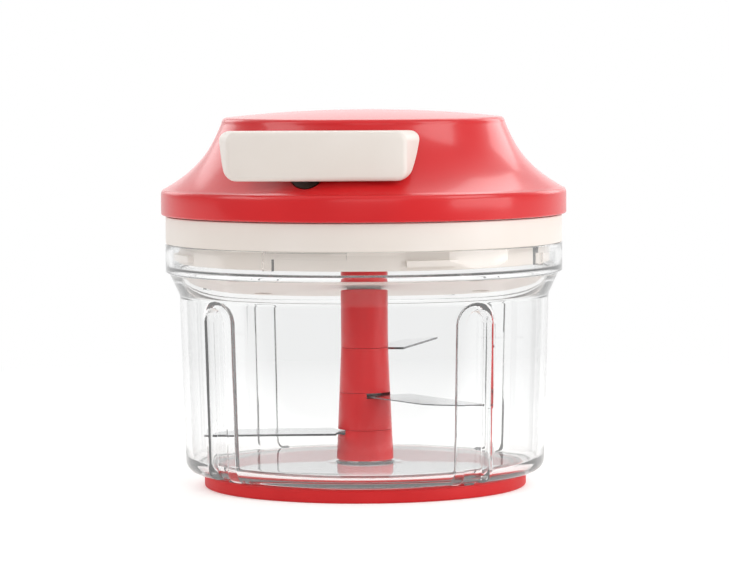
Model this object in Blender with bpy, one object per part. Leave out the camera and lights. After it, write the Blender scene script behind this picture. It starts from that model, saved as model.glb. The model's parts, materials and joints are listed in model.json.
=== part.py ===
# Pull-cord vegetable chopper, built as the pieces that it comes apart into on a bench.
#
# Metres, +Z up. The origin is the centre of the base ring's underside, the bowl and the
# blade shaft stand on the Z axis, and the handle pulls its cord out along -Y.
# Angles about Z are in degrees, anticlockwise from +X as seen from above.

import math

import bmesh
import bpy
from mathutils import Matrix

MM = 0.001

# Clearances and cutting
SEAT_GAP = 0.3 * MM         # between pieces that rest on or sit in each other
RUN_GAP = 0.4 * MM          # round a piece that turns or slides in another
OVERRUN = 4.0 * MM          # how far a cutter runs past what it cuts
ON_AXIS = 0.001 * MM        # a profile point nearer the axis than this lies on it

# Facets of the turned pieces
LARGE_SIDES = 48
MIDDLE_SIDES = 32
SMALL_SIDES = 20
SCREW_SIDES = 12
ARC_STEPS = 4

# Base ring: a soft channel that the bowl's foot rim stands in
RING_INSET = 5.4 * MM       # from the foot of the bowl's wall
RING_HEIGHT = 3.7 * MM
RING_STANDOFF = 0.75 * MM   # from the ring's top to the bowl's floor
RING_SOLE = 1.4 * MM
RING_WALL = 1.4 * MM
RING_EDGE = 0.5 * MM
FOOT_RIM_WIDTH = 2.2 * MM

# Bowl
BOWL_WALL = 1.9 * MM
BOWL_FLOOR = 2.2 * MM
COLLAR_RADIUS = 58.8 * MM    # the one radius that the bowl and the lid are both sized from
SHOULDER_WIDTH = 4.1 * MM    # from the collar in to the top of the straight wall
BODY_TAPER = 1.5 * MM        # from the top of the straight wall in to its foot
CORNER_RADIUS = 5.0 * MM
BODY_HEIGHT = 52.5 * MM      # from the floor's underside to the foot of the shoulder
SHOULDER_RISE = 6.6 * MM
COLLAR_HEIGHT = 8.7 * MM     # from the top of the shoulder to the rim
COLLAR_EDGE = 0.6 * MM
RIM_EDGE = 0.5 * MM
INNER_STEP_DEPTH = 6.7 * MM  # from the rim down to the step inside the collar
INNER_STEP_ROUND = 2.0 * MM
FLUTE_COUNT = 4
FLUTE_ANGLE = -139.0         # of the first flute
FLUTE_CUT_RADIUS = 10.0 * MM
FLUTE_DEPTH = 2.4 * MM
FLUTE_TOP_DROP = 8.0 * MM    # from the foot of the shoulder to the centre of the arch
PIN_BOSS_RADIUS = 8.8 * MM
PIN_BOSS_TAPER = 0.6 * MM
PIN_BOSS_HEIGHT = 1.5 * MM
PIN_RADIUS = 2.0 * MM
PIN_SEAT_DEPTH = 2.6 * MM
PIN_REACH = 9.0 * MM         # above its boss
PIN_CHAMFER = 0.6 * MM

# Twist lock between the lid's skirt and the bowl's collar, with the lid turned to open
LOCK_COUNT = 4
LOCK_ANGLE = -66.0           # centre of the first lug on the lid
LUG_WIDTH_ANGLE = 16.0
LUG_HEIGHT = 1.8 * MM
LUG_BASE = 1.2 * MM          # height of the lugs above the skirt's lower edge
LEDGE_OFFSET_ANGLE = -37.5   # from a lug to the ledge that it turns under
LEDGE_WIDTH_ANGLE = 25.0
LEDGE_HEIGHT = 1.7 * MM
STOP_WIDTH_ANGLE = 3.0
LOCK_REACH = 1.5 * MM        # how far lugs and ledges stand out of their walls

# Lid base: skirt, flange, floor and the sleeve that carries the spindle and the spring
SKIRT_DEPTH = 5.6 * MM       # below the bowl's rim
SKIRT_WALL = 2.0 * MM
LID_FLOOR = 2.4 * MM
LID_EDGE = 0.4 * MM
SEAL_THICKNESS = 1.0 * MM
FLANGE_INSET = 0.1 * MM      # from the collar's radius
FLANGE_HEIGHT = 6.5 * MM
FLANGE_STEP = 2.0 * MM       # thickness of the flange over the seal
FLANGE_LIP = 0.8 * MM        # of the flange's edge, which hides the seal
SPIGOT_HEIGHT = 4.0 * MM
SLEEVE_WALL = 2.0 * MM
COLUMN_COUNT = 4
COLUMN_ANGLE = 45.0
COLUMN_RADIUS = 4.2 * MM
COLUMN_INSET = 0.8 * MM      # from the skirt's inner face
COLUMN_HEIGHT = 3.3 * MM     # above the flange
SCREW_HEAD_RADIUS = 2.5 * MM
SCREW_HEAD_HEIGHT = 1.8 * MM
SCREW_RADIUS = 1.3 * MM
SCREW_LENGTH = 12.0 * MM
SCREW_SLOT_DEPTH = 0.9 * MM
SCREW_SLOT_WIDTH = 0.7 * MM
SCREW_SEAT = 4.0 * MM        # thickness of the column over the screw's head
COVER_BOSS_RADIUS = 3.2 * MM

# Top cover: a short band, a flare that draws in as it rises, and a crowned top
COVER_OVERHANG = 1.2 * MM    # past the bowl's collar
COVER_WALL = 2.3 * MM
COVER_EDGE = 0.5 * MM
BAND_HEIGHT = 5.9 * MM
BAND_ROUND_HEIGHT = 1.7 * MM
FLARE_LEDGE = 0.9 * MM       # from the band in to the foot of the flare
FLARE_DRAW = 17.4 * MM       # from the foot of the flare in to its top
FLARE_HEIGHT = 20.2 * MM
FLARE_LEAN_SHARE = 0.48      # the straight part of the flare's draw-in, the rest is cubic
FLARE_STEPS = 8
FLARE_INNER_SHARE = 0.65     # sideways part of the wall inside the flare
TOP_ROUND = 1.2 * MM
TOP_CROWN = 1.8 * MM
TOP_STEPS = 3
AXLE_BOSS_RADIUS = 4.5 * MM

# Handle: a hollow bar whose back follows the flare
HANDLE_WIDTH = 51.5 * MM
HANDLE_DEPTH = 15.8 * MM     # from the top of the flare out to the middle of the handle's front
HANDLE_LIFT = 3.9 * MM       # from the foot of the flare to the handle's lower edge
HANDLE_DROP = 1.8 * MM       # from the top of the flare to the handle's top
HANDLE_OFFSET = -9.5 * MM    # its middle, along X
HANDLE_CORNER = 2.6 * MM
HANDLE_EDGE = 0.8 * MM
HANDLE_CROWN_RADIUS = 140.0 * MM
HANDLE_DRAFT_SHARE = 0.24    # widening of each end per length of depth
HANDLE_WALL = 1.8 * MM
HANDLE_BACK_GAP = 0.5 * MM
HANDLE_BACK_WALL = 1.5 * MM
HANDLE_STEPS = 8

# Cord, eyelet and knot
CORD_RADIUS = 0.75 * MM
CORD_OFFSET = 12.8 * MM      # from the Z axis to the cord's line, also its radius on the drum
CORD_RISE = 3.4 * MM         # from the handle's lower edge to the cord
CORD_TURN_GAP = 0.5 * MM
CORD_TURN_COUNT = 4.25
CORD_TURN_STEPS = 24
EYELET_RADIUS = 5.4 * MM
EYELET_BORE = 1.3 * MM
EYELET_MOUTH = 3.8 * MM
EYELET_MOUTH_DEPTH = 2.2 * MM
EYELET_DEPTH = 3.2 * MM      # behind the cover's inner face
KNOT_RADIUS = 1.35 * MM
KNOT_STANDOFF = 2.2 * MM     # from the handle's back plate to the knot's centre

# Reel: drum, spring barrel and hub in one moulding
DRUM_FLANGE_RADIUS = 17.0 * MM
DRUM_FLANGE = 1.2 * MM
BARREL_RADIUS = 24.5 * MM
BARREL_WALL = 1.9 * MM
BARREL_ROOF = 2.0 * MM
BARREL_DEPTH = 12.6 * MM     # below the roof's top
HUB_DROP = 0.8 * MM          # below the roof's underside
SPRING_COVER = 1.0 * MM
SPRING_COVER_SEAT = 0.5 * MM
SPRING_HEIGHT = 8.0 * MM
SPRING_THICKNESS = 0.5 * MM
SPRING_TURN_COUNT = 6.0
SPRING_TURN_STEPS = 20
AXLE_RADIUS = 1.5 * MM
AXLE_SEAT_DEPTH = 2.8 * MM   # in the cover's boss
AXLE_REEL_DEPTH = 9.0 * MM   # in the reel

# Drive spindle and its splines in the blade shaft's socket
SPINDLE_RADIUS = 5.2 * MM
SPINDLE_HEX = 4.0 * MM       # across-corner radius of the plug in the reel
SPINDLE_HEX_LENGTH = 3.6 * MM
HEX_ANGLE = 5.0              # of every six-sided plug, core and bore
SPLINE_COUNT = 3
SPLINE_CORE_RADIUS = 3.7 * MM
SPLINE_RADIUS = 5.3 * MM
SPLINE_WIDTH_ANGLE = 20.0
SPLINE_LENGTH = 7.4 * MM
SPLINE_PLAY_ANGLE = 3.0      # between a spline and the rib that it drives at rest
SPLINE_STEPS = 3

# Blade shaft: sleeves and blades threaded on a six-sided core
SHAFT_TOP_RADIUS = 7.0 * MM
SHAFT_FOOT_RADIUS = 8.45 * MM
SHAFT_TOP_GAP = 1.1 * MM     # under the lid's floor
SHAFT_FOOT_GAP = 0.4 * MM    # over the pivot boss
SHAFT_EDGE = 0.3 * MM
CORE_RADIUS = 4.8 * MM
CORE_FLANGE_RADIUS = 6.2 * MM
CORE_FLANGE = 1.2 * MM
SOCKET_WEB = 6.0 * MM        # between the core's end and the splines' room
BUSH_WALL = 1.4 * MM
BUSH_CAP = 1.0 * MM
LOWER_BLADE_SHARE = 0.1263   # height of each blade, as a share of the shaft's length
MIDDLE_BLADE_SHARE = 0.3193
UPPER_BLADE_SHARE = 0.5526
LOWER_BLADE_ANGLE = -174.5
MIDDLE_BLADE_ANGLE = -52.6
UPPER_BLADE_ANGLE = 77.5
LOWER_BLADE_WIDTH = 18.0 * MM
MIDDLE_BLADE_WIDTH = 13.8 * MM
UPPER_BLADE_WIDTH = 9.0 * MM
LOWER_BLADE_BACK = 9.0 * MM  # from the shaft's axis to the line of the blade's straight back
MIDDLE_BLADE_BACK = 10.4 * MM
UPPER_BLADE_BACK = 9.8 * MM
BLADE_TIP_GAP = 0.7 * MM     # to the flutes' ridges inside the bowl
BLADE_THICKNESS = 0.6 * MM
BLADE_BEVEL = 3.2 * MM
BLADE_EDGE = 0.2 * MM
BLADE_HUB_RADIUS = 5.9 * MM
BLADE_HUB_RISE = 0.15 * MM   # of the pressed hub above each side of the blade
BLADE_TANG = 5.2 * MM        # the most that a blade reaches to each side inside its sleeve
BLADE_SHOULDER = 0.6 * MM    # from the tang's width to the full width, just outside the sleeve
BLADE_NOSE = 14.0 * MM       # the length over which the cutting edge curves in
BLADE_TIP_WIDTH = 0.8 * MM
BLADE_STEPS = 7

# Heights, from the ground up
FLOOR_UNDER = RING_HEIGHT + RING_STANDOFF
FLOOR_TOP = FLOOR_UNDER + BOWL_FLOOR
SHOULDER_FOOT = FLOOR_UNDER + BODY_HEIGHT
SHOULDER_TOP = SHOULDER_FOOT + SHOULDER_RISE
BOWL_RIM = SHOULDER_TOP + COLLAR_HEIGHT
PIN_BOSS_TOP = FLOOR_TOP + PIN_BOSS_HEIGHT
INNER_STEP = BOWL_RIM - INNER_STEP_DEPTH
SKIRT_FOOT = BOWL_RIM - SKIRT_DEPTH
FLANGE_UNDER = BOWL_RIM + SEAL_THICKNESS + 2 * SEAT_GAP
FLANGE_TOP = FLANGE_UNDER + FLANGE_HEIGHT
SPIGOT_TOP = FLANGE_TOP + SPIGOT_HEIGHT
COLUMN_TOP = FLANGE_TOP + COLUMN_HEIGHT
COVER_FOOT = FLANGE_TOP + SEAT_GAP
FLARE_FOOT = COVER_FOOT + BAND_HEIGHT + BAND_ROUND_HEIGHT
FLARE_TOP = FLARE_FOOT + FLARE_HEIGHT
COVER_TOP = FLARE_TOP + TOP_ROUND + TOP_CROWN
HANDLE_TOP = FLARE_TOP - HANDLE_DROP
HANDLE_BOTTOM = FLARE_FOOT + HANDLE_LIFT
HANDLE_HEIGHT = HANDLE_TOP - HANDLE_BOTTOM
HANDLE_MIDDLE = (HANDLE_TOP + HANDLE_BOTTOM) / 2
CORD_HEIGHT = HANDLE_BOTTOM + CORD_RISE
CORD_PITCH = 2 * CORD_RADIUS + CORD_TURN_GAP
BARREL_ROOF_TOP = CORD_HEIGHT - CORD_RADIUS - RUN_GAP
BARREL_ROOF_UNDER = BARREL_ROOF_TOP - BARREL_ROOF
BARREL_FOOT = BARREL_ROOF_TOP - BARREL_DEPTH
HUB_UNDER = BARREL_ROOF_UNDER - HUB_DROP
DRUM_TOP = CORD_HEIGHT + CORD_TURN_COUNT * CORD_PITCH + CORD_RADIUS + RUN_GAP
REEL_TOP = DRUM_TOP + DRUM_FLANGE
SLEEVE_TOP = HUB_UNDER - SEAT_GAP
AXLE_BOSS_FOOT = REEL_TOP + RUN_GAP
SHAFT_TOP = SKIRT_FOOT - SHAFT_TOP_GAP
SHAFT_FOOT = PIN_BOSS_TOP + SHAFT_FOOT_GAP
SHAFT_LENGTH = SHAFT_TOP - SHAFT_FOOT
SOCKET_FLOOR = SHAFT_TOP - SPLINE_LENGTH - RUN_GAP
CORE_TOP = SOCKET_FLOOR - SOCKET_WEB
PIN_TOP = PIN_BOSS_TOP + PIN_REACH
BUSH_TOP = PIN_TOP + SEAT_GAP + BUSH_CAP

# Radii
COLLAR_INNER = COLLAR_RADIUS - BOWL_WALL
BODY_TOP_RADIUS = COLLAR_RADIUS - SHOULDER_WIDTH
BODY_FOOT_RADIUS = BODY_TOP_RADIUS - BODY_TAPER
RING_RADIUS = BODY_FOOT_RADIUS - RING_INSET
RING_CHANNEL_OUTER = RING_RADIUS - RING_WALL
FOOT_RIM_OUTER = RING_CHANNEL_OUTER - SEAT_GAP
FOOT_RIM_INNER = FOOT_RIM_OUTER - FOOT_RIM_WIDTH
RING_CHANNEL_INNER = FOOT_RIM_INNER - SEAT_GAP
SKIRT_RADIUS = COLLAR_INNER - LOCK_REACH - RUN_GAP
SKIRT_INNER = SKIRT_RADIUS - SKIRT_WALL
COLUMN_CIRCLE = SKIRT_INNER - COLUMN_INSET - COLUMN_RADIUS
FLANGE_RADIUS = COLLAR_RADIUS - FLANGE_INSET
FLANGE_LIP_INNER = FLANGE_RADIUS - FLANGE_LIP
COVER_RADIUS = COLLAR_RADIUS + COVER_OVERHANG
FLARE_FOOT_RADIUS = COVER_RADIUS - FLARE_LEDGE
FLARE_TOP_RADIUS = FLARE_FOOT_RADIUS - FLARE_DRAW
HANDLE_FRONT = FLARE_TOP_RADIUS + HANDLE_DEPTH
SPIGOT_RADIUS = COVER_RADIUS - COVER_WALL - SEAT_GAP
SPIGOT_INNER = SPIGOT_RADIUS - SKIRT_WALL
BEARING_RADIUS = SPINDLE_RADIUS + RUN_GAP
SLEEVE_RADIUS = BEARING_RADIUS + SLEEVE_WALL
DRUM_RADIUS = CORD_OFFSET - CORD_RADIUS - SEAT_GAP
BARREL_INNER = BARREL_RADIUS - BARREL_WALL
SOCKET_RADIUS = SPLINE_RADIUS + RUN_GAP
SOCKET_RIB_RADIUS = SPLINE_CORE_RADIUS + RUN_GAP
CORE_BORE = CORE_RADIUS + SEAT_GAP
BLADE_HALF = BLADE_THICKNESS / 2 + BLADE_HUB_RISE
BLADE_SWEEP = BODY_FOOT_RADIUS - FLUTE_DEPTH - BOWL_WALL - BLADE_TIP_GAP
LOWER_BLADE = SHAFT_FOOT + LOWER_BLADE_SHARE * SHAFT_LENGTH
MIDDLE_BLADE = SHAFT_FOOT + MIDDLE_BLADE_SHARE * SHAFT_LENGTH
UPPER_BLADE = SHAFT_FOOT + UPPER_BLADE_SHARE * SHAFT_LENGTH


# Building blocks

def clear_scene():
    for item in list(bpy.data.objects):
        bpy.data.objects.remove(item, do_unlink=True)


def make_material(name, color, roughness, metallic=0.0, alpha=1.0):
    material = bpy.data.materials.new(name)
    material.use_nodes = True
    shader = material.node_tree.nodes["Principled BSDF"]
    shader.inputs["Base Color"].default_value = (*color, 1.0)
    shader.inputs["Roughness"].default_value = roughness
    shader.inputs["Metallic"].default_value = metallic
    shader.inputs["Alpha"].default_value = alpha
    material.diffuse_color = (*color, alpha)
    return material


def to_object(name, bm):
    """Close a bmesh into a linked object with its faces pointing out."""
    bmesh.ops.recalc_face_normals(bm, faces=bm.faces)
    mesh = bpy.data.meshes.new(name)
    bm.to_mesh(mesh)
    bm.free()
    item = bpy.data.objects.new(name, mesh)
    bpy.context.scene.collection.objects.link(item)
    return item


def combine(target, tools, operation):
    """Join, cut or intersect a piece with its tools, which are used up."""
    for tool in tools:
        modifier = target.modifiers.new(tool.name, "BOOLEAN")
        modifier.operation = operation
        modifier.solver = "EXACT"
        modifier.object = tool
    depsgraph = bpy.context.evaluated_depsgraph_get()
    mesh = bpy.data.meshes.new_from_object(target.evaluated_get(depsgraph))
    plain = target.data
    target.modifiers.clear()
    target.data = mesh
    bpy.data.meshes.remove(plain)
    for tool in tools:
        spent = tool.data
        bpy.data.objects.remove(tool, do_unlink=True)
        bpy.data.meshes.remove(spent)
    return target


def join(target, tools):
    return combine(target, tools, "UNION")


def cut(target, tools):
    return combine(target, tools, "DIFFERENCE")


def finish(item, material, smooth_angle=35.0):
    item.data.materials.clear()
    item.data.materials.append(material)
    item.data.shade_smooth()
    item.data.set_sharp_from_angle(angle=math.radians(smooth_angle))
    return item


def polar(radius, angle, height=0.0):
    turn = math.radians(angle)
    return (radius * math.cos(turn), radius * math.sin(turn), height)


def arc(centre_radius, centre_height, radius, start, end, steps=ARC_STEPS):
    """Points of a profile's round stretch, as (radius, height) pairs."""
    points = []
    for step in range(steps + 1):
        turn = math.radians(start + (end - start) * step / steps)
        points.append((centre_radius + radius * math.cos(turn), centre_height + radius * math.sin(turn)))
    return points


def bridge(bm, first, second):
    """Faces between two rings of vertices; a ring of one vertex is a pole."""
    count = max(len(first), len(second))
    for step in range(count):
        corners = []
        for ring, index in ((first, step), (first, step + 1), (second, step + 1), (second, step)):
            vertex = ring[index % len(ring)]
            if vertex not in corners:
                corners.append(vertex)
        if len(corners) > 2:
            bm.faces.new(corners)


def turned(name, profile, sides, place=None):
    """A solid of revolution about Z. A profile that ends off the axis closes on itself."""
    bm = bmesh.new()
    rings = []
    for radius, height in profile:
        if radius < ON_AXIS:
            rings.append([bm.verts.new((0.0, 0.0, height))])
        else:
            rings.append([bm.verts.new(polar(radius, 360.0 * step / sides, height)) for step in range(sides)])
    for first, second in zip(rings, rings[1:]):
        bridge(bm, first, second)
    if len(rings[0]) > 1:
        bridge(bm, rings[-1], rings[0])
    if place is not None:
        bm.transform(place)
    return to_object(name, bm)


def cylinder(name, radius, low, high, sides, place=None):
    profile = [(0.0, low), (radius, low), (radius, high), (0.0, high)]
    return turned(name, profile, sides, place)


def at_angle(radius, angle):
    return Matrix.Translation(polar(radius, angle))


def loft(name, rings):
    """A closed solid through rings of points, with flat ends."""
    bm = bmesh.new()
    loops = [[bm.verts.new(point) for point in ring] for ring in rings]
    for first, second in zip(loops, loops[1:]):
        bridge(bm, first, second)
    bm.faces.new(loops[0])
    bm.faces.new(loops[-1])
    return to_object(name, bm)


def prism(name, outline, low, high):
    """A solid with an (x, y) outline between two heights."""
    return loft(name, [[(x, y, z) for x, y in outline] for z in (low, high)])


def ring_block(name, inner, outer, low, high, angle, width_angle):
    """A block that bends about Z, centred on an angle."""
    turns = [angle + width_angle * (step / ARC_STEPS - 0.5) for step in range(ARC_STEPS + 1)]
    outline = [polar(outer, turn)[:2] for turn in turns]
    outline += [polar(inner, turn)[:2] for turn in reversed(turns)]
    return prism(name, outline, low, high)


def splined_outline(core_radius, tooth_radius, width_angle, offset_angle):
    """A round outline with splines, or with gaps between ribs where core and tooth trade places."""
    outline = []
    for tooth in range(SPLINE_COUNT):
        centre = offset_angle + 360.0 * tooth / SPLINE_COUNT
        gap_angle = 360.0 / SPLINE_COUNT - width_angle
        for step in range(SPLINE_STEPS + 1):
            turn = centre + width_angle * (step / SPLINE_STEPS - 0.5)
            outline.append(polar(tooth_radius, turn)[:2])
        for step in range(2 * SPLINE_STEPS + 1):
            turn = centre + width_angle / 2 + gap_angle * step / (2 * SPLINE_STEPS)
            outline.append(polar(core_radius, turn)[:2])
    return outline


def six_sided(name, radius, low, high):
    return prism(name, [polar(radius, HEX_ANGLE + 60.0 * step)[:2] for step in range(6)], low, high)


# Shapes that more than one piece follows

def body_radius(height):
    """Outer radius of the bowl's straight wall, which leans out as it rises."""
    share = (height - FLOOR_UNDER) / BODY_HEIGHT
    return BODY_FOOT_RADIUS + (BODY_TOP_RADIUS - BODY_FOOT_RADIUS) * share


def flare_radius(height):
    """Outer radius of the cover's flare."""
    share = min(max((FLARE_TOP - height) / FLARE_HEIGHT, 0.0), 1.0)
    drawn = FLARE_LEAN_SHARE * share + (1.0 - FLARE_LEAN_SHARE) * share ** 3
    return FLARE_TOP_RADIUS + (FLARE_FOOT_RADIUS - FLARE_TOP_RADIUS) * drawn


def shaft_radius(height):
    """Outer radius of the blade shaft: straight above the upper blade, wider towards its foot."""
    share = min(max((UPPER_BLADE - height) / (UPPER_BLADE - SHAFT_FOOT), 0.0), 1.0)
    return SHAFT_TOP_RADIUS + (SHAFT_FOOT_RADIUS - SHAFT_TOP_RADIUS) * share


def cover_outline():
    """The cover's outer profile, from the middle of its top down to its lower edge."""
    top_radius = FLARE_TOP_RADIUS - TOP_ROUND
    points = [(0.0, COVER_TOP)]
    for step in range(1, TOP_STEPS):
        share = step / TOP_STEPS
        points.append((top_radius * share, COVER_TOP - TOP_CROWN * share ** 2))
    points += arc(top_radius, FLARE_TOP, TOP_ROUND, 90.0, 0.0)
    for step in range(1, FLARE_STEPS + 1):
        height = FLARE_TOP - FLARE_HEIGHT * step / FLARE_STEPS
        points.append((flare_radius(height), height))
    for step in range(1, ARC_STEPS + 1):
        turn = math.radians(90.0 * step / ARC_STEPS)
        radius = FLARE_FOOT_RADIUS + (COVER_RADIUS - FLARE_FOOT_RADIUS) * math.sin(turn)
        points.append((radius, FLARE_FOOT - BAND_ROUND_HEIGHT * (1.0 - math.cos(turn))))
    points.append((COVER_RADIUS, COVER_FOOT + COVER_EDGE))
    points.append((COVER_RADIUS - COVER_EDGE, COVER_FOOT))
    return points


def cover_cavity():
    """The cover's inner profile, open below its lower edge."""
    top = FLARE_TOP + TOP_ROUND - COVER_WALL
    points = [(0.0, COVER_TOP - COVER_WALL)]
    for step in range(FLARE_STEPS - 1):
        height = top - (FLARE_HEIGHT - COVER_WALL) * step / (FLARE_STEPS - 1)
        radius = flare_radius(height + COVER_WALL) - FLARE_INNER_SHARE * COVER_WALL
        points.append((radius, height))
    band = COVER_RADIUS - COVER_WALL
    points.append((band, FLARE_FOOT - COVER_WALL))
    points.append((band, COVER_FOOT - OVERRUN))
    points.append((0.0, COVER_FOOT - OVERRUN))
    return points


# Bowl and base

def make_base_ring(material):
    top = RING_HEIGHT
    inner = RING_CHANNEL_INNER - RING_WALL
    profile = [
        (inner, 0.0),
        (RING_RADIUS - RING_EDGE, 0.0),
        (RING_RADIUS, RING_EDGE),
        (RING_RADIUS, top - RING_EDGE),
        (RING_RADIUS - RING_EDGE, top),
        (RING_CHANNEL_OUTER, top),
        (RING_CHANNEL_OUTER, RING_SOLE),
        (RING_CHANNEL_INNER, RING_SOLE),
        (RING_CHANNEL_INNER, top),
        (inner, top),
    ]
    return finish(turned("base_ring", profile, LARGE_SIDES), material)


def shoulder():
    """The bowl's outer wall through its shoulder, a quarter of an ellipse that ends under the collar."""
    width = COLLAR_RADIUS - COLLAR_EDGE - BODY_TOP_RADIUS
    points = []
    for step in range(1, ARC_STEPS + 3):
        turn = math.radians(90.0 * step / (ARC_STEPS + 2))
        radius = BODY_TOP_RADIUS + width * (1.0 - math.cos(turn))
        points.append((radius, SHOULDER_FOOT + SHOULDER_RISE * math.sin(turn)))
    return points + [(COLLAR_RADIUS, SHOULDER_TOP + COLLAR_EDGE)]


def flute_rod(name, radius):
    """A rod along the bowl's wall with a round top, which cuts a flute or carries its ridge."""
    stand_off = FLUTE_CUT_RADIUS - FLUTE_DEPTH
    top = SHOULDER_FOOT - FLUTE_TOP_DROP
    foot = -OVERRUN
    centres = [(foot, radius), (top, radius)]
    for step in range(1, ARC_STEPS):
        turn = math.radians(90.0 * step / ARC_STEPS)
        centres.append((top + radius * math.sin(turn), radius * math.cos(turn)))
    bm = bmesh.new()
    loops = []
    for height, ring_radius in centres:
        middle = body_radius(min(height, top)) + stand_off
        ring = []
        for side in range(MIDDLE_SIDES):
            x, y, z = polar(ring_radius, 360.0 * side / MIDDLE_SIDES, height)
            ring.append(bm.verts.new((middle + x, y, z)))
        loops.append(ring)
    for first, second in zip(loops, loops[1:]):
        bridge(bm, first, second)
    bm.faces.new(loops[0])
    bridge(bm, loops[-1], [bm.verts.new((body_radius(top) + stand_off, 0.0, top + radius))])
    return bm, name


def flute_rods(name, radius):
    rods = []
    for flute in range(FLUTE_COUNT):
        bm, label = flute_rod(name, radius)
        angle = math.radians(FLUTE_ANGLE + 360.0 * flute / FLUTE_COUNT)
        bm.transform(Matrix.Rotation(angle, 4, "Z"))
        rods.append(to_object(f"{label}_{flute}", bm))
    return rods


def make_bowl(material):
    rim_sole = RING_SOLE + SEAT_GAP
    outer = [
        (0.0, FLOOR_UNDER),
        (FOOT_RIM_INNER, FLOOR_UNDER),
        (FOOT_RIM_INNER, rim_sole),
        (FOOT_RIM_OUTER, rim_sole),
        (FOOT_RIM_OUTER, FLOOR_UNDER),
    ]
    outer += arc(BODY_FOOT_RADIUS - CORNER_RADIUS, FLOOR_UNDER + CORNER_RADIUS, CORNER_RADIUS, -90.0, 0.0)
    outer.append((BODY_TOP_RADIUS, SHOULDER_FOOT))
    outer += shoulder()
    outer += [(COLLAR_RADIUS, BOWL_RIM - RIM_EDGE), (COLLAR_RADIUS - RIM_EDGE, BOWL_RIM), (0.0, BOWL_RIM)]
    bowl = turned("bowl", outer, LARGE_SIDES)

    corner = CORNER_RADIUS - BOWL_WALL
    inner = [
        (0.0, PIN_BOSS_TOP),
        (PIN_BOSS_RADIUS - PIN_BOSS_TAPER, PIN_BOSS_TOP),
        (PIN_BOSS_RADIUS, FLOOR_TOP),
    ]
    inner += arc(BODY_FOOT_RADIUS - CORNER_RADIUS, FLOOR_TOP + corner, corner, -90.0, 0.0)
    body_inner = BODY_TOP_RADIUS - BOWL_WALL
    inner.append((body_inner, SHOULDER_FOOT))
    rounding = INNER_STEP_ROUND
    inner += arc(body_inner + rounding, INNER_STEP - rounding, rounding, 180.0, 90.0)
    inner += [(COLLAR_INNER, INNER_STEP), (COLLAR_INNER, BOWL_RIM + OVERRUN), (0.0, BOWL_RIM + OVERRUN)]
    cavity = turned("bowl_cavity", inner, LARGE_SIDES)

    ledges = []
    ledge_foot = SKIRT_FOOT + LUG_BASE + LUG_HEIGHT + RUN_GAP
    for lock in range(LOCK_COUNT):
        angle = LOCK_ANGLE + LEDGE_OFFSET_ANGLE + 360.0 * lock / LOCK_COUNT
        ledges.append(ring_block(
            f"ledge_{lock}", COLLAR_INNER - LOCK_REACH, COLLAR_RADIUS - RIM_EDGE,
            ledge_foot, ledge_foot + LEDGE_HEIGHT, angle, LEDGE_WIDTH_ANGLE))
        stop_angle = angle - (LEDGE_WIDTH_ANGLE - STOP_WIDTH_ANGLE) / 2
        ledges.append(ring_block(
            f"stop_{lock}", COLLAR_INNER - LOCK_REACH, COLLAR_RADIUS - RIM_EDGE,
            SKIRT_FOOT, ledge_foot + LEDGE_HEIGHT / 2, stop_angle, STOP_WIDTH_ANGLE))
    cut(cavity, flute_rods("ridge", FLUTE_CUT_RADIUS + BOWL_WALL) + ledges)
    pin_hole = cylinder(
        "pin_hole", PIN_RADIUS + SEAT_GAP, PIN_BOSS_TOP - PIN_SEAT_DEPTH, PIN_BOSS_TOP + OVERRUN, SMALL_SIDES)
    cut(bowl, [cavity, pin_hole] + flute_rods("flute", FLUTE_CUT_RADIUS))
    return finish(bowl, material)


def make_pivot_pin(material):
    foot = PIN_BOSS_TOP - PIN_SEAT_DEPTH + SEAT_GAP
    profile = [
        (0.0, foot),
        (PIN_RADIUS, foot),
        (PIN_RADIUS, PIN_TOP - PIN_CHAMFER),
        (PIN_RADIUS - PIN_CHAMFER, PIN_TOP),
        (0.0, PIN_TOP),
    ]
    return finish(turned("pivot_pin", profile, SMALL_SIDES), material)


# Lid

def make_seal_ring(material):
    foot = BOWL_RIM + SEAT_GAP
    top = foot + SEAL_THICKNESS
    inner = SKIRT_RADIUS + SEAT_GAP
    outer = FLANGE_LIP_INNER - SEAT_GAP
    profile = [(inner, foot), (outer, foot), (outer, top), (inner, top)]
    return finish(turned("seal_ring", profile, LARGE_SIDES), material)


def column_angles():
    return [COLUMN_ANGLE + 360.0 * column / COLUMN_COUNT for column in range(COLUMN_COUNT)]


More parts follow.
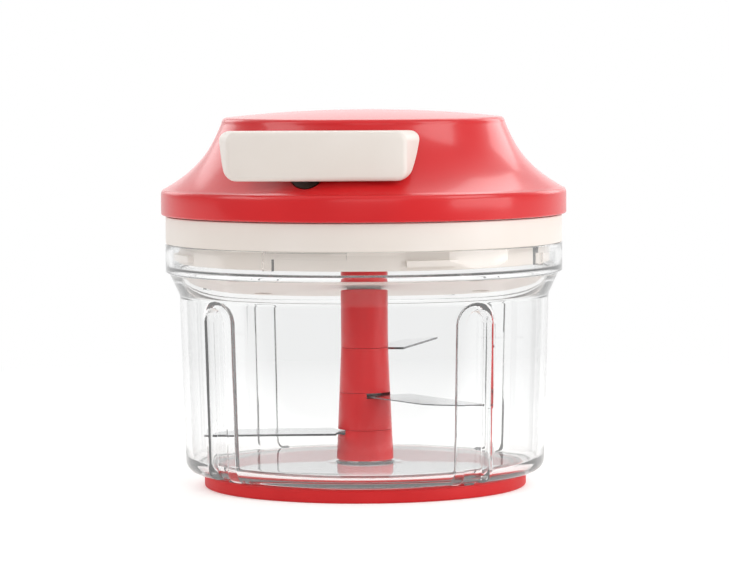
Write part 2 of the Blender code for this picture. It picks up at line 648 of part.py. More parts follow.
def make_lid_base(material):
    step_height = FLANGE_UNDER + FLANGE_STEP
    floor_top = SKIRT_FOOT + LID_FLOOR
    profile = [
        (BEARING_RADIUS, SKIRT_FOOT),
        (SKIRT_RADIUS - LID_EDGE, SKIRT_FOOT),
        (SKIRT_RADIUS, SKIRT_FOOT + LID_EDGE),
        (SKIRT_RADIUS, FLANGE_UNDER),
        (FLANGE_LIP_INNER, FLANGE_UNDER),
        (FLANGE_LIP_INNER, BOWL_RIM + SEAT_GAP),
        (FLANGE_RADIUS - LID_EDGE, BOWL_RIM + SEAT_GAP),
        (FLANGE_RADIUS, BOWL_RIM + SEAT_GAP + LID_EDGE),
        (FLANGE_RADIUS, FLANGE_TOP),
        (SPIGOT_RADIUS, FLANGE_TOP),
        (SPIGOT_RADIUS, SPIGOT_TOP),
        (SPIGOT_INNER, SPIGOT_TOP),
        (SPIGOT_INNER, step_height),
        (SKIRT_INNER, step_height),
        (SKIRT_INNER, floor_top),
        (SLEEVE_RADIUS, floor_top),
        (SLEEVE_RADIUS, SLEEVE_TOP),
        (BEARING_RADIUS, SLEEVE_TOP),
    ]
    base = turned("lid_base", profile, LARGE_SIDES)
    additions = []
    for index, angle in enumerate(column_angles()):
        place = at_angle(COLUMN_CIRCLE, angle)
        additions.append(cylinder(
            f"column_{index}", COLUMN_RADIUS, SKIRT_FOOT + LID_EDGE, COLUMN_TOP, SMALL_SIDES, place))
    for lock in range(LOCK_COUNT):
        angle = LOCK_ANGLE + 360.0 * lock / LOCK_COUNT
        lug_foot = SKIRT_FOOT + LUG_BASE
        additions.append(ring_block(
            f"lug_{lock}", SKIRT_RADIUS - SKIRT_WALL / 2, SKIRT_RADIUS + LOCK_REACH,
            lug_foot, lug_foot + LUG_HEIGHT, angle, LUG_WIDTH_ANGLE))
    join(base, additions)
    holes = []
    for index, angle in enumerate(column_angles()):
        place = at_angle(COLUMN_CIRCLE, angle)
        recess_top = COLUMN_TOP - SCREW_SEAT
        holes.append(cylinder(
            f"recess_{index}", SCREW_HEAD_RADIUS + RUN_GAP, SKIRT_FOOT - OVERRUN, recess_top, SMALL_SIDES, place))
        holes.append(cylinder(
            f"clearance_{index}", SCREW_RADIUS + RUN_GAP, recess_top - SEAT_GAP, COLUMN_TOP + OVERRUN,
            SCREW_SIDES, place))
    return finish(cut(base, holes), material)


def make_lid_screw(index, angle, material):
    """A screw with a slotted head that stands under its column's seat and points up."""
    head_top = COLUMN_TOP - SCREW_SEAT - SEAT_GAP
    head_foot = head_top - SCREW_HEAD_HEIGHT
    profile = [
        (0.0, head_foot),
        (SCREW_HEAD_RADIUS, head_foot),
        (SCREW_HEAD_RADIUS, head_top),
        (SCREW_RADIUS, head_top),
        (SCREW_RADIUS, head_top + SCREW_LENGTH),
        (0.0, head_top + SCREW_LENGTH + SCREW_RADIUS),
    ]
    screw = turned(f"lid_screw_{index}", profile, SCREW_SIDES)
    reach = SCREW_HEAD_RADIUS + OVERRUN
    half = SCREW_SLOT_WIDTH / 2
    outline = [(-reach, -half), (reach, -half), (reach, half), (-reach, half)]
    cut(screw, [prism("slot", outline, head_foot - OVERRUN, head_foot + SCREW_SLOT_DEPTH)])
    screw.location = polar(COLUMN_CIRCLE, angle)
    return finish(screw, material)


def make_top_cover(material):
    cover = turned("top_cover", cover_outline() + [(0.0, COVER_FOOT)], LARGE_SIDES)
    cavity = turned("cover_cavity", cover_cavity(), LARGE_SIDES)
    bosses = [cylinder("axle_boss", AXLE_BOSS_RADIUS, AXLE_BOSS_FOOT, COVER_TOP, SMALL_SIDES)]
    holes = [cylinder(
        "axle_hole", AXLE_RADIUS + SEAT_GAP, AXLE_BOSS_FOOT - OVERRUN, AXLE_BOSS_FOOT + AXLE_SEAT_DEPTH,
        SCREW_SIDES)]
    boss_foot = COLUMN_TOP + SEAT_GAP
    screw_tip = COLUMN_TOP - SCREW_SEAT - SEAT_GAP + SCREW_LENGTH + SCREW_RADIUS
    for index, angle in enumerate(column_angles()):
        place = at_angle(COLUMN_CIRCLE, angle)
        bosses.append(cylinder(f"boss_{index}", COVER_BOSS_RADIUS, boss_foot, FLARE_TOP, SMALL_SIDES, place))
        holes.append(cylinder(
            f"pilot_{index}", SCREW_RADIUS + SEAT_GAP, boss_foot - OVERRUN, screw_tip + SEAT_GAP,
            SCREW_SIDES, place))
    cut(cavity, bosses)
    outlet = cylinder("outlet", EYELET_RADIUS + SEAT_GAP, 0.0, COVER_RADIUS, SMALL_SIDES, cord_frame(0.0))
    cut(cover, [cavity, outlet] + holes)
    return finish(cover, material)


def cord_frame(distance):
    """Turns +Z to point along -Y, on the cord's line, at a distance in front of the Z axis."""
    return Matrix.Translation((-CORD_OFFSET, -distance, CORD_HEIGHT)) @ Matrix.Rotation(math.radians(90.0), 4, "X")


def make_cord_eyelet(material):
    face = math.sqrt(flare_radius(CORD_HEIGHT) ** 2 - CORD_OFFSET ** 2)
    foot = face - COVER_WALL - EYELET_DEPTH
    profile = [
        (EYELET_BORE, foot),
        (EYELET_RADIUS, foot),
        (EYELET_RADIUS, COVER_RADIUS),
        (EYELET_MOUTH, COVER_RADIUS),
        (EYELET_MOUTH, face),
        (EYELET_BORE, face - EYELET_MOUTH_DEPTH),
    ]
    eyelet = turned("cord_eyelet", profile, SMALL_SIDES, cord_frame(0.0))
    dome = turned("dome", cover_outline() + [(0.0, COVER_FOOT)], LARGE_SIDES)
    return finish(combine(eyelet, [dome], "INTERSECT"), material)


def make_axle_pin(material):
    foot = REEL_TOP - AXLE_REEL_DEPTH + SEAT_GAP
    top = AXLE_BOSS_FOOT + AXLE_SEAT_DEPTH - SEAT_GAP
    return finish(cylinder("axle_pin", AXLE_RADIUS, foot, top, SCREW_SIDES), material)


# Reel, spring and spindle

def make_reel(material):
    rebate = BARREL_INNER + SPRING_COVER_SEAT
    rebate_top = BARREL_FOOT + SPRING_COVER + SEAT_GAP
    bore = AXLE_RADIUS + SEAT_GAP
    bore_foot = REEL_TOP - AXLE_REEL_DEPTH
    profile = [
        (0.0, bore_foot),
        (bore, bore_foot),
        (bore, REEL_TOP),
        (DRUM_FLANGE_RADIUS, REEL_TOP),
        (DRUM_FLANGE_RADIUS, DRUM_TOP),
        (DRUM_RADIUS, DRUM_TOP),
        (DRUM_RADIUS, BARREL_ROOF_TOP),
        (BARREL_RADIUS, BARREL_ROOF_TOP),
        (BARREL_RADIUS, BARREL_FOOT),
        (rebate, BARREL_FOOT),
        (rebate, rebate_top),
        (BARREL_INNER, rebate_top),
        (BARREL_INNER, BARREL_ROOF_UNDER),
        (SLEEVE_RADIUS, BARREL_ROOF_UNDER),
        (SLEEVE_RADIUS, HUB_UNDER),
        (0.0, HUB_UNDER),
    ]
    reel = turned("reel", profile, MIDDLE_SIDES)
    socket_top = HUB_UNDER + SPINDLE_HEX_LENGTH + SEAT_GAP
    cut(reel, [six_sided("hex_socket", SPINDLE_HEX + RUN_GAP, HUB_UNDER - OVERRUN, socket_top)])
    return finish(reel, material)


def make_spring_cover(material):
    """The thin ring that closes the barrel under the spring and turns with it."""
    inner = SLEEVE_RADIUS + RUN_GAP
    outer = BARREL_INNER + SPRING_COVER_SEAT - SEAT_GAP
    top = BARREL_FOOT + SPRING_COVER
    profile = [(inner, BARREL_FOOT), (outer, BARREL_FOOT), (outer, top), (inner, top)]
    return finish(turned("spring_cover", profile, MIDDLE_SIDES), material)


def make_recoil_spring(material):
    """A flat spiral strip, from the lid's sleeve out to the barrel's wall."""
    first = SLEEVE_RADIUS + SEAT_GAP + SPRING_THICKNESS / 2
    last = BARREL_INNER - SEAT_GAP - SPRING_THICKNESS / 2
    top = BARREL_ROOF_UNDER - HUB_DROP - SEAT_GAP
    foot = top - SPRING_HEIGHT
    steps = round(SPRING_TURN_COUNT * SPRING_TURN_STEPS)
    rings = []
    for step in range(steps + 1):
        share = step / steps
        angle = 360.0 * SPRING_TURN_COUNT * share
        radius = first + (last - first) * share
        near = radius - SPRING_THICKNESS / 2
        far = radius + SPRING_THICKNESS / 2
        rings.append([polar(near, angle, foot), polar(far, angle, foot), polar(far, angle, top), polar(near, angle, top)])
    return finish(loft("recoil_spring", rings), material)


def make_drive_spindle(material):
    """The reel's shaft: a six-sided plug, a round journal and the splines that turn the blades."""
    journal_foot = SHAFT_TOP + RUN_GAP
    journal_top = HUB_UNDER - SEAT_GAP
    spindle = cylinder("drive_spindle", SPINDLE_RADIUS, journal_foot, journal_top, MIDDLE_SIDES)
    plug = six_sided("plug", SPINDLE_HEX, journal_top - SEAT_GAP, HUB_UNDER + SPINDLE_HEX_LENGTH)
    outline = splined_outline(SPLINE_CORE_RADIUS, SPLINE_RADIUS, SPLINE_WIDTH_ANGLE, 0.0)
    splines = prism("splines", outline, journal_foot - SPLINE_LENGTH, journal_foot - RUN_GAP)
    neck = cylinder(
        "neck", SPLINE_CORE_RADIUS, journal_foot - SPLINE_LENGTH / 2, journal_foot + SEAT_GAP, SMALL_SIDES)
    return finish(join(spindle, [plug, splines, neck]), material)


# Cord and handle

def tube(name, points, radius, resolution, material):
    curve = bpy.data.curves.new(name, "CURVE")
    curve.dimensions = "3D"
    curve.bevel_depth = radius
    curve.bevel_resolution = resolution
    curve.use_fill_caps = True
    spline = curve.splines.new("POLY")
    spline.points.add(len(points) - 1)
    for target, point in zip(spline.points, points):
        target.co = (*point, 1.0)
    curve.materials.append(material)
    item = bpy.data.objects.new(name, curve)
    bpy.context.scene.collection.objects.link(item)
    return item


def least_gap(points, diameter, turn_steps):
    """The least gap of a wound tube to itself, between points at least half a turn apart."""
    nearest = math.inf
    for index, point in enumerate(points):
        for other in points[index + turn_steps // 2:]:
            nearest = min(nearest, math.dist(point, other))
    return nearest - diameter


def make_cord_winding(material):
    """The wound cord: it lies in one layer on the drum and leaves it at its lowest turn."""
    diameter = 2 * CORD_RADIUS
    points = [(-CORD_OFFSET, -diameter, CORD_HEIGHT)]
    steps = round(CORD_TURN_COUNT * CORD_TURN_STEPS)
    for step in range(steps + 1):
        turn = step / CORD_TURN_STEPS
        points.append(polar(CORD_OFFSET, 180.0 - 360.0 * turn, CORD_HEIGHT + CORD_PITCH * turn))
    gap = least_gap(points, diameter, CORD_TURN_STEPS)
    print(f"cord_winding: least gap to itself {gap / MM:.2f} mm")
    return tube("cord_winding", points, CORD_RADIUS, 1, material)


def handle_back(height):
    """The distance from the Z axis to the handle's back, which follows the flare."""
    return flare_radius(height) + HANDLE_BACK_GAP


def knot_distance():
    return handle_back(CORD_HEIGHT) + HANDLE_BACK_WALL + KNOT_STANDOFF


def make_cord_run(material):
    """The straight cord from the drum, through the eyelet, to its knot in the handle."""
    start = 2 * CORD_RADIUS + SEAT_GAP
    end = knot_distance() - KNOT_RADIUS - SEAT_GAP
    points = []
    steps = 2 * ARC_STEPS
    for step in range(steps + 1):
        points.append((-CORD_OFFSET, -start - (end - start) * step / steps, CORD_HEIGHT))
    return tube("cord_run", points, CORD_RADIUS, 2, material)


def make_cord_knot(material):
    bm = bmesh.new()
    bmesh.ops.create_icosphere(bm, subdivisions=2, radius=KNOT_RADIUS)
    bm.transform(cord_frame(knot_distance()))
    return finish(to_object("cord_knot", bm), material)


def bar_columns(half_width, half_height, corner):
    """(x, half height) along a bar's rounded front outline, from end to end."""
    left = []
    for step in range(ARC_STEPS + 1):
        turn = math.radians(90.0 * step / ARC_STEPS)
        left.append((corner * (1.0 - math.cos(turn)) - half_width, half_height - corner * (1.0 - math.sin(turn))))
    straight = half_width - corner
    middle = [
        (straight * (2.0 * step / HANDLE_STEPS - 1.0), half_height) for step in range(1, HANDLE_STEPS)
    ]
    return left + middle + [(-x, half) for x, half in reversed(left)]


def bar(name, inset, front, rear):
    """The handle's body, drawn in by an inset: a bowed front, rounded edges and ends that spread."""
    half_width = HANDLE_WIDTH / 2 - inset
    half_height = HANDLE_HEIGHT / 2 - inset
    corner = HANDLE_CORNER - inset / 2
    edge = HANDLE_EDGE
    bm = bmesh.new()
    loops = []
    for drawn_in, setback in ((edge, 0.0), (0.3 * edge, 0.3 * edge), (0.0, edge), (0.0, None)):
        columns = bar_columns(half_width - drawn_in, half_height - drawn_in, corner - drawn_in / 2)
        upper, lower = [], []
        for x, half in columns:
            if setback is None:
                y = -rear
                x *= 1.0 + HANDLE_DRAFT_SHARE * (front - rear) / half_width
            else:
                bow = HANDLE_CROWN_RADIUS - math.sqrt(HANDLE_CROWN_RADIUS ** 2 - x ** 2)
                y = bow + setback - front
            upper.append(bm.verts.new((HANDLE_OFFSET + x, y, HANDLE_MIDDLE + half)))
            lower.append(bm.verts.new((HANDLE_OFFSET + x, y, HANDLE_MIDDLE - half)))
        loops.append((upper, lower))
    for (upper, lower), (next_upper, next_lower) in zip(loops, loops[1:]):
        bridge(bm, upper + lower[::-1], next_upper + next_lower[::-1])
    for upper, lower in (loops[0], loops[-1]):
        for step in range(len(upper) - 1):
            bm.faces.new((upper[step], upper[step + 1], lower[step + 1], lower[step]))
    return to_object(name, bm)


def back_slab(name, near, far):
    """What lies between two offsets in front of the handle's back line, right across the handle."""
    steps = 2 * ARC_STEPS
    low = HANDLE_BOTTOM - OVERRUN
    high = HANDLE_TOP + OVERRUN
    heights = [low + (high - low) * step / steps for step in range(steps + 1)]
    outline = [(-handle_back(height) - far, height) for height in heights]
    if near is None:
        outline += [(0.0, high), (0.0, low)]
    else:
        outline += [(-handle_back(height) - near, height) for height in reversed(heights)]
    reach = HANDLE_WIDTH
    return loft(name, [[(x, y, z) for y, z in outline] for x in (HANDLE_OFFSET - reach, HANDLE_OFFSET + reach)])


def make_handle_grip(material):
    rear = FLARE_TOP_RADIUS - OVERRUN
    grip = bar("handle_grip", 0.0, HANDLE_FRONT, rear)
    hollow = bar("hollow", HANDLE_WALL, HANDLE_FRONT - HANDLE_WALL, rear - OVERRUN)
    cut(grip, [back_slab("back_line", None, 0.0), hollow])
    return finish(grip, material)


def make_handle_back(material):
    rear = FLARE_TOP_RADIUS - OVERRUN
    plate = bar("handle_back", HANDLE_WALL + SEAT_GAP, HANDLE_FRONT - HANDLE_WALL - SEAT_GAP, rear)
    hole = cylinder("cord_hole", CORD_RADIUS + RUN_GAP, 0.0, COVER_RADIUS, SCREW_SIDES, cord_frame(0.0))
    slab = cut(back_slab("plate_slab", 0.0, HANDLE_BACK_WALL), [hole])
    return finish(combine(plate, [slab], "INTERSECT"), material)


# Blade shaft and blades

def sleeve_body(name, low, high):
    """A solid red sleeve. Its ends are eased where they are the shaft's own ends."""
    low_edge = SHAFT_EDGE if low == SHAFT_FOOT else 0.0
    high_edge = SHAFT_EDGE if high == SHAFT_TOP else 0.0
    profile = [(0.0, low), (shaft_radius(low) - low_edge, low)]
    if low_edge:
        profile.append((shaft_radius(low), low + low_edge))
    profile.append((shaft_radius(high), high - high_edge))
    if high_edge:
        profile.append((shaft_radius(high) - high_edge, high))
    profile.append((0.0, high))
    return turned(name, profile, MIDDLE_SIDES)


def tang_reach(width, back):
    """How far a blade reaches behind and before its axis inside its sleeve."""
    return min(back, BLADE_TANG), min(width - back, BLADE_TANG)


def blade_room(height, angle, width, back, side):
    """Cutters for the room that a blade's hub and tang take in the top of the sleeve under them."""
    top = height + BLADE_HALF + SEAT_GAP + OVERRUN
    foot = height - BLADE_HALF - SEAT_GAP
    hub = cylinder("hub_room", BLADE_HUB_RADIUS + SEAT_GAP, foot, top, SMALL_SIDES)
    behind, before = tang_reach(width, back)
    rear = side * -(behind + SEAT_GAP)
    edge = side * (before + SEAT_GAP)
    outline = [(0.0, rear), (COVER_RADIUS, rear), (COVER_RADIUS, edge), (0.0, edge)]
    slot = prism("tang_slot", outline, height - BLADE_THICKNESS / 2 - SEAT_GAP, top)
    for cutter in (hub, slot):
        cutter.data.transform(Matrix.Rotation(math.radians(angle), 4, "Z"))
    return [hub, slot]


def sleeve_top(height):
    """The top of the sleeve that closes round the hub of the blade at this height."""
    return height + BLADE_HALF + SEAT_GAP


def make_foot_sleeve(material):
    high = sleeve_top(LOWER_BLADE)
    sleeve = sleeve_body("foot_sleeve", SHAFT_FOOT, high)
    flange_room = CORE_FLANGE_RADIUS + SEAT_GAP
    room = blade_room(LOWER_BLADE, LOWER_BLADE_ANGLE, LOWER_BLADE_WIDTH, LOWER_BLADE_BACK, -1.0)
    cut(sleeve, room + [
        six_sided("sleeve_bore", CORE_BORE, SHAFT_FOOT - OVERRUN, high + OVERRUN),
        cylinder("flange_room", flange_room, SHAFT_FOOT - OVERRUN, SHAFT_FOOT + CORE_FLANGE + SEAT_GAP, SMALL_SIDES),
    ])
    return finish(sleeve, material)


def make_sleeve(name, blade_below, height, angle, width, back, side, material):
    """The sleeve between two blades, with room in its top for the upper one's hub and tang."""
    low = sleeve_top(blade_below) + SEAT_GAP
    high = sleeve_top(height)
    sleeve = sleeve_body(name, low, high)
    bore = six_sided("sleeve_bore", CORE_BORE, low - OVERRUN, high + OVERRUN)
    cut(sleeve, blade_room(height, angle, width, back, side) + [bore])
    return finish(sleeve, material)


def make_drive_socket(material):
    low = sleeve_top(UPPER_BLADE) + SEAT_GAP
    socket = sleeve_body("drive_socket", low, SHAFT_TOP)
    drive_angle = SPLINE_WIDTH_ANGLE + SPLINE_PLAY_ANGLE
    room_angle = 360.0 / SPLINE_COUNT - SPLINE_WIDTH_ANGLE
    room = splined_outline(SOCKET_RIB_RADIUS, SOCKET_RADIUS, room_angle, drive_angle + 180.0 / SPLINE_COUNT)
    cut(socket, [
        six_sided("core_bore", CORE_BORE, low - OVERRUN, CORE_TOP + SEAT_GAP),
        prism("spline_room", room, SOCKET_FLOOR, SHAFT_TOP + OVERRUN),
    ])
    return finish(socket, material)


def make_shaft_core(material):
    core = six_sided("shaft_core", CORE_RADIUS, SHAFT_FOOT, CORE_TOP)
    join(core, [cylinder("core_flange", CORE_FLANGE_RADIUS, SHAFT_FOOT, SHAFT_FOOT + CORE_FLANGE, SMALL_SIDES)])
    room = cylinder(
        "bush_room", PIN_RADIUS + RUN_GAP + BUSH_WALL + SEAT_GAP, SHAFT_FOOT - OVERRUN,
        BUSH_TOP + SEAT_GAP, SMALL_SIDES)
    return finish(cut(core, [room]), material)


def make_foot_bush(material):
    """The bush that runs on the pivot pin and takes the shaft's weight on its closed end."""
    bore = PIN_RADIUS + RUN_GAP
    outer = bore + BUSH_WALL
    cap = PIN_TOP + SEAT_GAP
    profile = [
        (bore, SHAFT_FOOT),
        (outer, SHAFT_FOOT),
        (outer, BUSH_TOP),
        (0.0, BUSH_TOP),
        (0.0, cap),
        (bore, cap),
    ]
    return finish(turned_cup("foot_bush", profile, SMALL_SIDES), material)


def turned_cup(name, profile, sides):
    """A turned solid whose profile crosses the axis in its middle: starts and ends off the axis."""
    crossing = next(i for i, point in enumerate(profile) if point[0] < ON_AXIS)
    return turned(name, profile[crossing + 1:] + profile[:crossing + 1], sides)


def blade_sections(height, width, back, side):
    """Cross-sections of a blade that points along +X, with its straight back on one side of it."""
    thick = BLADE_THICKNESS / 2
    keen = BLADE_EDGE / 2
    reach = math.sqrt(BLADE_SWEEP ** 2 - back ** 2)
    outside = shaft_radius(height) + SEAT_GAP
    tang = tang_reach(width, back)
    stations = [(0.0, *tang), (outside, *tang), (outside + BLADE_SHOULDER, back, width - back)]
    for step in range(BLADE_STEPS + 1):
        share = step / BLADE_STEPS
        edge = width - back - (width - BLADE_TIP_WIDTH) * share ** 2
        stations.append((reach - BLADE_NOSE * (1.0 - share), back, edge))
    sections = []
    for x, rear, edge in stations:
        bevel = max(edge - BLADE_BEVEL, (edge - rear) / 2)
        outline = [(-rear, -thick), (-rear, thick), (bevel, thick), (edge, keen), (edge, -keen), (bevel, -thick)]
        sections.append([(x, side * y, z) for y, z in outline])
    return sections


def make_blade(name, height, angle, width, back, side, material):
    blade = loft(name, blade_sections(height, width, back, side))
    hub = BLADE_THICKNESS / 2 + BLADE_HUB_RISE
    join(blade, [cylinder("hub", BLADE_HUB_RADIUS, -hub, hub, SMALL_SIDES)])
    hole = six_sided("hub_hole", CORE_BORE, -OVERRUN, OVERRUN)
    hole.data.transform(Matrix.Rotation(math.radians(-angle), 4, "Z"))
    cut(blade, [hole])
    blade.location = (0.0, 0.0, height)
    blade.rotation_euler = (0.0, 0.0, math.radians(angle))
    return finish(blade, material, 12.0)


def make_blade_shaft(red, steel, white):
    lower = (LOWER_BLADE, LOWER_BLADE_ANGLE, LOWER_BLADE_WIDTH, LOWER_BLADE_BACK, -1.0)
    middle = (MIDDLE_BLADE, MIDDLE_BLADE_ANGLE, MIDDLE_BLADE_WIDTH, MIDDLE_BLADE_BACK, -1.0)
    upper = (UPPER_BLADE, UPPER_BLADE_ANGLE, UPPER_BLADE_WIDTH, UPPER_BLADE_BACK, 1.0)
    make_foot_sleeve(red)
    make_sleeve("lower_sleeve", LOWER_BLADE, *middle, red)
    make_sleeve("middle_sleeve", MIDDLE_BLADE, *upper, red)
    make_drive_socket(red)
    make_shaft_core(white)
    make_foot_bush(white)
    make_blade("blade_lower", *lower, steel)
    make_blade("blade_middle", *middle, steel)
    make_blade("blade_upper", *upper, steel)


def main():
    clear_scene()
    red = make_material("red_plastic", (0.66, 0.035, 0.045), 0.3)
    soft_red = make_material("soft_red", (0.6, 0.03, 0.04), 0.55)
    cream = make_material("cream_plastic", (0.79, 0.72, 0.66), 0.42)
    clear = make_material("clear_plastic", (0.93, 0.95, 0.95), 0.05, alpha=0.3)
    steel = make_material("blade_steel", (0.62, 0.63, 0.64), 0.25, metallic=1.0)
    white = make_material("white_plastic", (0.8, 0.8, 0.78), 0.5)
    dark = make_material("dark_plastic", (0.05, 0.04, 0.035), 0.5)
    silicone = make_material("seal_silicone", (0.8, 0.79, 0.76), 0.6)
    twine = make_material("cord_nylon", (0.85, 0.83, 0.78), 0.75)

    make_base_ring(soft_red)
    make_bowl(clear)
    make_pivot_pin(steel)
    make_seal_ring(silicone)
    make_lid_base(cream)
    for index, angle in enumerate(column_angles(), 1):
        make_lid_screw(index, angle, steel)
    make_top_cover(red)
    make_cord_eyelet(dark)
    make_axle_pin(steel)
    make_reel(white)
    make_spring_cover(white)
    make_recoil_spring(steel)
    make_drive_spindle(white)
    make_cord_winding(twine)
    make_cord_run(twine)
    make_cord_knot(twine)
    make_handle_grip(cream)
    make_handle_back(cream)
    make_blade_shaft(red, steel, white)


main()
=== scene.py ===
import json
import math
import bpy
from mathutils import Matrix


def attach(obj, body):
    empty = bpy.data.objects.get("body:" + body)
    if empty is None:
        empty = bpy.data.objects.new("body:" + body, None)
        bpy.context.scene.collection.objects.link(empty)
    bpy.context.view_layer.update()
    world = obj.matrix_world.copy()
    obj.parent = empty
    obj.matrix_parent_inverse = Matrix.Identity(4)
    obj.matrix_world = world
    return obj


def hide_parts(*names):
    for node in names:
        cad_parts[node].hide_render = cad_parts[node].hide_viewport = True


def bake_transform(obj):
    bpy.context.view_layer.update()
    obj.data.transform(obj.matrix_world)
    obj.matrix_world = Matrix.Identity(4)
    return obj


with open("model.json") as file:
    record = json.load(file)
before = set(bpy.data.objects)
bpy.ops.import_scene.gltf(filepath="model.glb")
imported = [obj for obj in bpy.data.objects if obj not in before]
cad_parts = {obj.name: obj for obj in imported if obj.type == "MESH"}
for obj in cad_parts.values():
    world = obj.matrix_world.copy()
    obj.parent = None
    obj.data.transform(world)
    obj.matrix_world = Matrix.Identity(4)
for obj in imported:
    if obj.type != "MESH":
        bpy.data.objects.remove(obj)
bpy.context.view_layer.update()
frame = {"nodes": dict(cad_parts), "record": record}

from types import SimpleNamespace

import bmesh
import bpy
from mathutils import Matrix, Vector

mm = 0.001                       # the pieces are drawn in millimetres
bodyOf = {node: body for body, nodes in frame["record"]["behaviour"]["bodies"].items() for node in nodes}
slotOf = {part["node"]: part["material_slot"] for part in frame["record"]["subparts"]}


# Nodes: one call puts a node down and wires it, for materials and geometry alike

def put(tree, kind, inputs=None, **settings):
    node = tree.nodes.new(kind)
    for key, value in settings.items():
        setattr(node, key, value)
    for key, value in (inputs or {}).items():
        if isinstance(value, bpy.types.NodeSocket):
            tree.links.new(value, node.inputs[key])
        else:
            node.inputs[key].default_value = value
    return node


def wire(tree, kind, inputs=None, **settings):
    # the same, where the node's first output is all that is used
    return put(tree, kind, inputs, **settings).outputs[0]


def calc(tree, operation, *values):
    return wire(tree, "ShaderNodeMath", dict(enumerate(values)), operation=operation)


def mixColours(tree, share, first, second):
    return put(tree, "ShaderNodeMix", {0: share, 6: first, 7: second}, data_type="RGBA").outputs[2]


def between(tree, value, low, high, lowOut=0.0, highOut=1.0, form="LINEAR"):
    span = {"Value": value, "From Min": low, "From Max": high, "To Min": lowOut, "To Max": highOut}
    return wire(tree, "ShaderNodeMapRange", span, interpolation_type=form)


def point(tree, x, y, z):
    return wire(tree, "ShaderNodeCombineXYZ", {"X": x, "Y": y, "Z": z})


def axes(tree, vector):
    return put(tree, "ShaderNodeSeparateXYZ", {0: vector}).outputs


def mixShaders(tree, share, first, second):
    return wire(tree, "ShaderNodeMixShader", {0: share, 1: first, 2: second})


def glow(tree, strength):
    return wire(tree, "ShaderNodeEmission", {"Strength": strength})


def newObject(name, data):
    item = bpy.data.objects.new(name, data)
    bpy.context.scene.collection.objects.link(item)
    return item


# Camera and light

cameraSetup = {
    "distance": 1.05,            # metres from the shaft's axis
    "side": 4.0,                 # degrees to the right of the handle's pull
    "height": 0.12795,
    "aimHeight": 0.05725,
    "lens": 175.0,
    "tilt": -0.35,               # degrees, as the photograph is held
    "shift": 0.3 / 729,
    "nearest": 0.05,
}


def placeCamera():
    s = SimpleNamespace(**cameraSetup)
    turn = math.radians(s.side)
    data = bpy.data.cameras.new("photoCamera")
    data.lens = s.lens
    data.shift_x = s.shift
    data.clip_start = s.nearest
    camera = newObject("photoCamera", data)
    camera.location = (s.distance * math.sin(turn), -s.distance * math.cos(turn), s.height)
    gaze = Vector((0, 0, s.aimHeight)) - camera.location
    facing = gaze.to_track_quat("-Z", "Y").to_matrix().to_4x4()
    roll = Matrix.Rotation(math.radians(s.tilt), 4, "Z")
    camera.rotation_euler = (facing @ roll).to_euler()
    bpy.context.scene.camera = camera


softboxes = {                    # place, width, height and power of each lamp
    "rightKey": ((1.12, -0.40, 0.80), 0.75, 0.60, 6.6),
    "leftFill": ((-0.95, -0.35, 0.62), 0.60, 0.60, 3.6),
    "backTop": ((0.10, 0.85, 0.95), 0.90, 0.50, 4.0),
    "backLeft": ((-0.76, 0.86, 0.50), 0.55, 0.50, 1.4),
    "backRight": ((0.76, 0.90, 0.46), 0.55, 0.50, 2.1),
    "backLow": ((0.00, 1.90, 0.38), 1.30, 0.50, 0.95),
    "rightLow": ((1.10, -0.34, 0.12), 0.85, 0.26, 2.8),
    "lowFront": ((0.10, -1.30, 0.24), 0.90, 0.30, 1.0),
    "frontTop": ((0.20, -1.20, 0.56), 0.90, 0.40, 1.2),
}


def hangSoftboxes():
    for name, (place, width, height, power) in softboxes.items():
        lamp = bpy.data.lights.new(name, "AREA")
        lamp.shape = "RECTANGLE"
        lamp.size = width
        lamp.size_y = height
        lamp.energy = power
        item = newObject(name, lamp)
        item.location = place
        aim = Vector(studio["lampAim"]) - item.location
        item.rotation_euler = aim.to_track_quat("-Z", "Y").to_euler()
        item.visible_camera = item.visible_transmission = False


studio = {
    "lampAim": (0, 0, 0.06),     # the point that every softbox faces
    "ambient": 0.52,             # what the room gives to the object
    "wallDark": 0.36,            # dark panels to the left and right, which draw the clear edges
    "frontDark": 0.20,           # room and floor in front of the object, as shiny faces mirror them
    "darkFrom": 0.55,            # cosines between which the panels and the room in front grow dark
    "darkTo": 0.85,
    "frontFrom": 0.10,           # metres in front of the axis between which the floor grows dark
    "frontTo": 0.18,
    "floorColour": (0.93, 0.93, 0.925, 1),
    "floorGlow": 0.16,
    "whiteFrom": 0.13,           # metres from the object to where the floor starts to fade to white
    "whiteTo": 0.42,
    "underGlow": 0.95,           # lights the clear floor from below, inside the base ring
    "underRadius": 0.0420,
    "floorSize": 6.0,
}


def beforeMatt(tree, rays):
    # One until the ray has met its first matt face
    return calc(tree, "LESS_THAN", rays["Diffuse Depth"], 0.5)


def mirroredPath(tree, rays):
    # One for a ray that a shiny face has turned back, and that has met no matt face
    turned = calc(tree, "GREATER_THAN", rays["Glossy Depth"], 0.5)
    return calc(tree, "MULTIPLY", turned, beforeMatt(tree, rays))


def room(tree, strength):
    return wire(tree, "ShaderNodeBackground", {"Color": (1, 1, 1, 1), "Strength": strength})


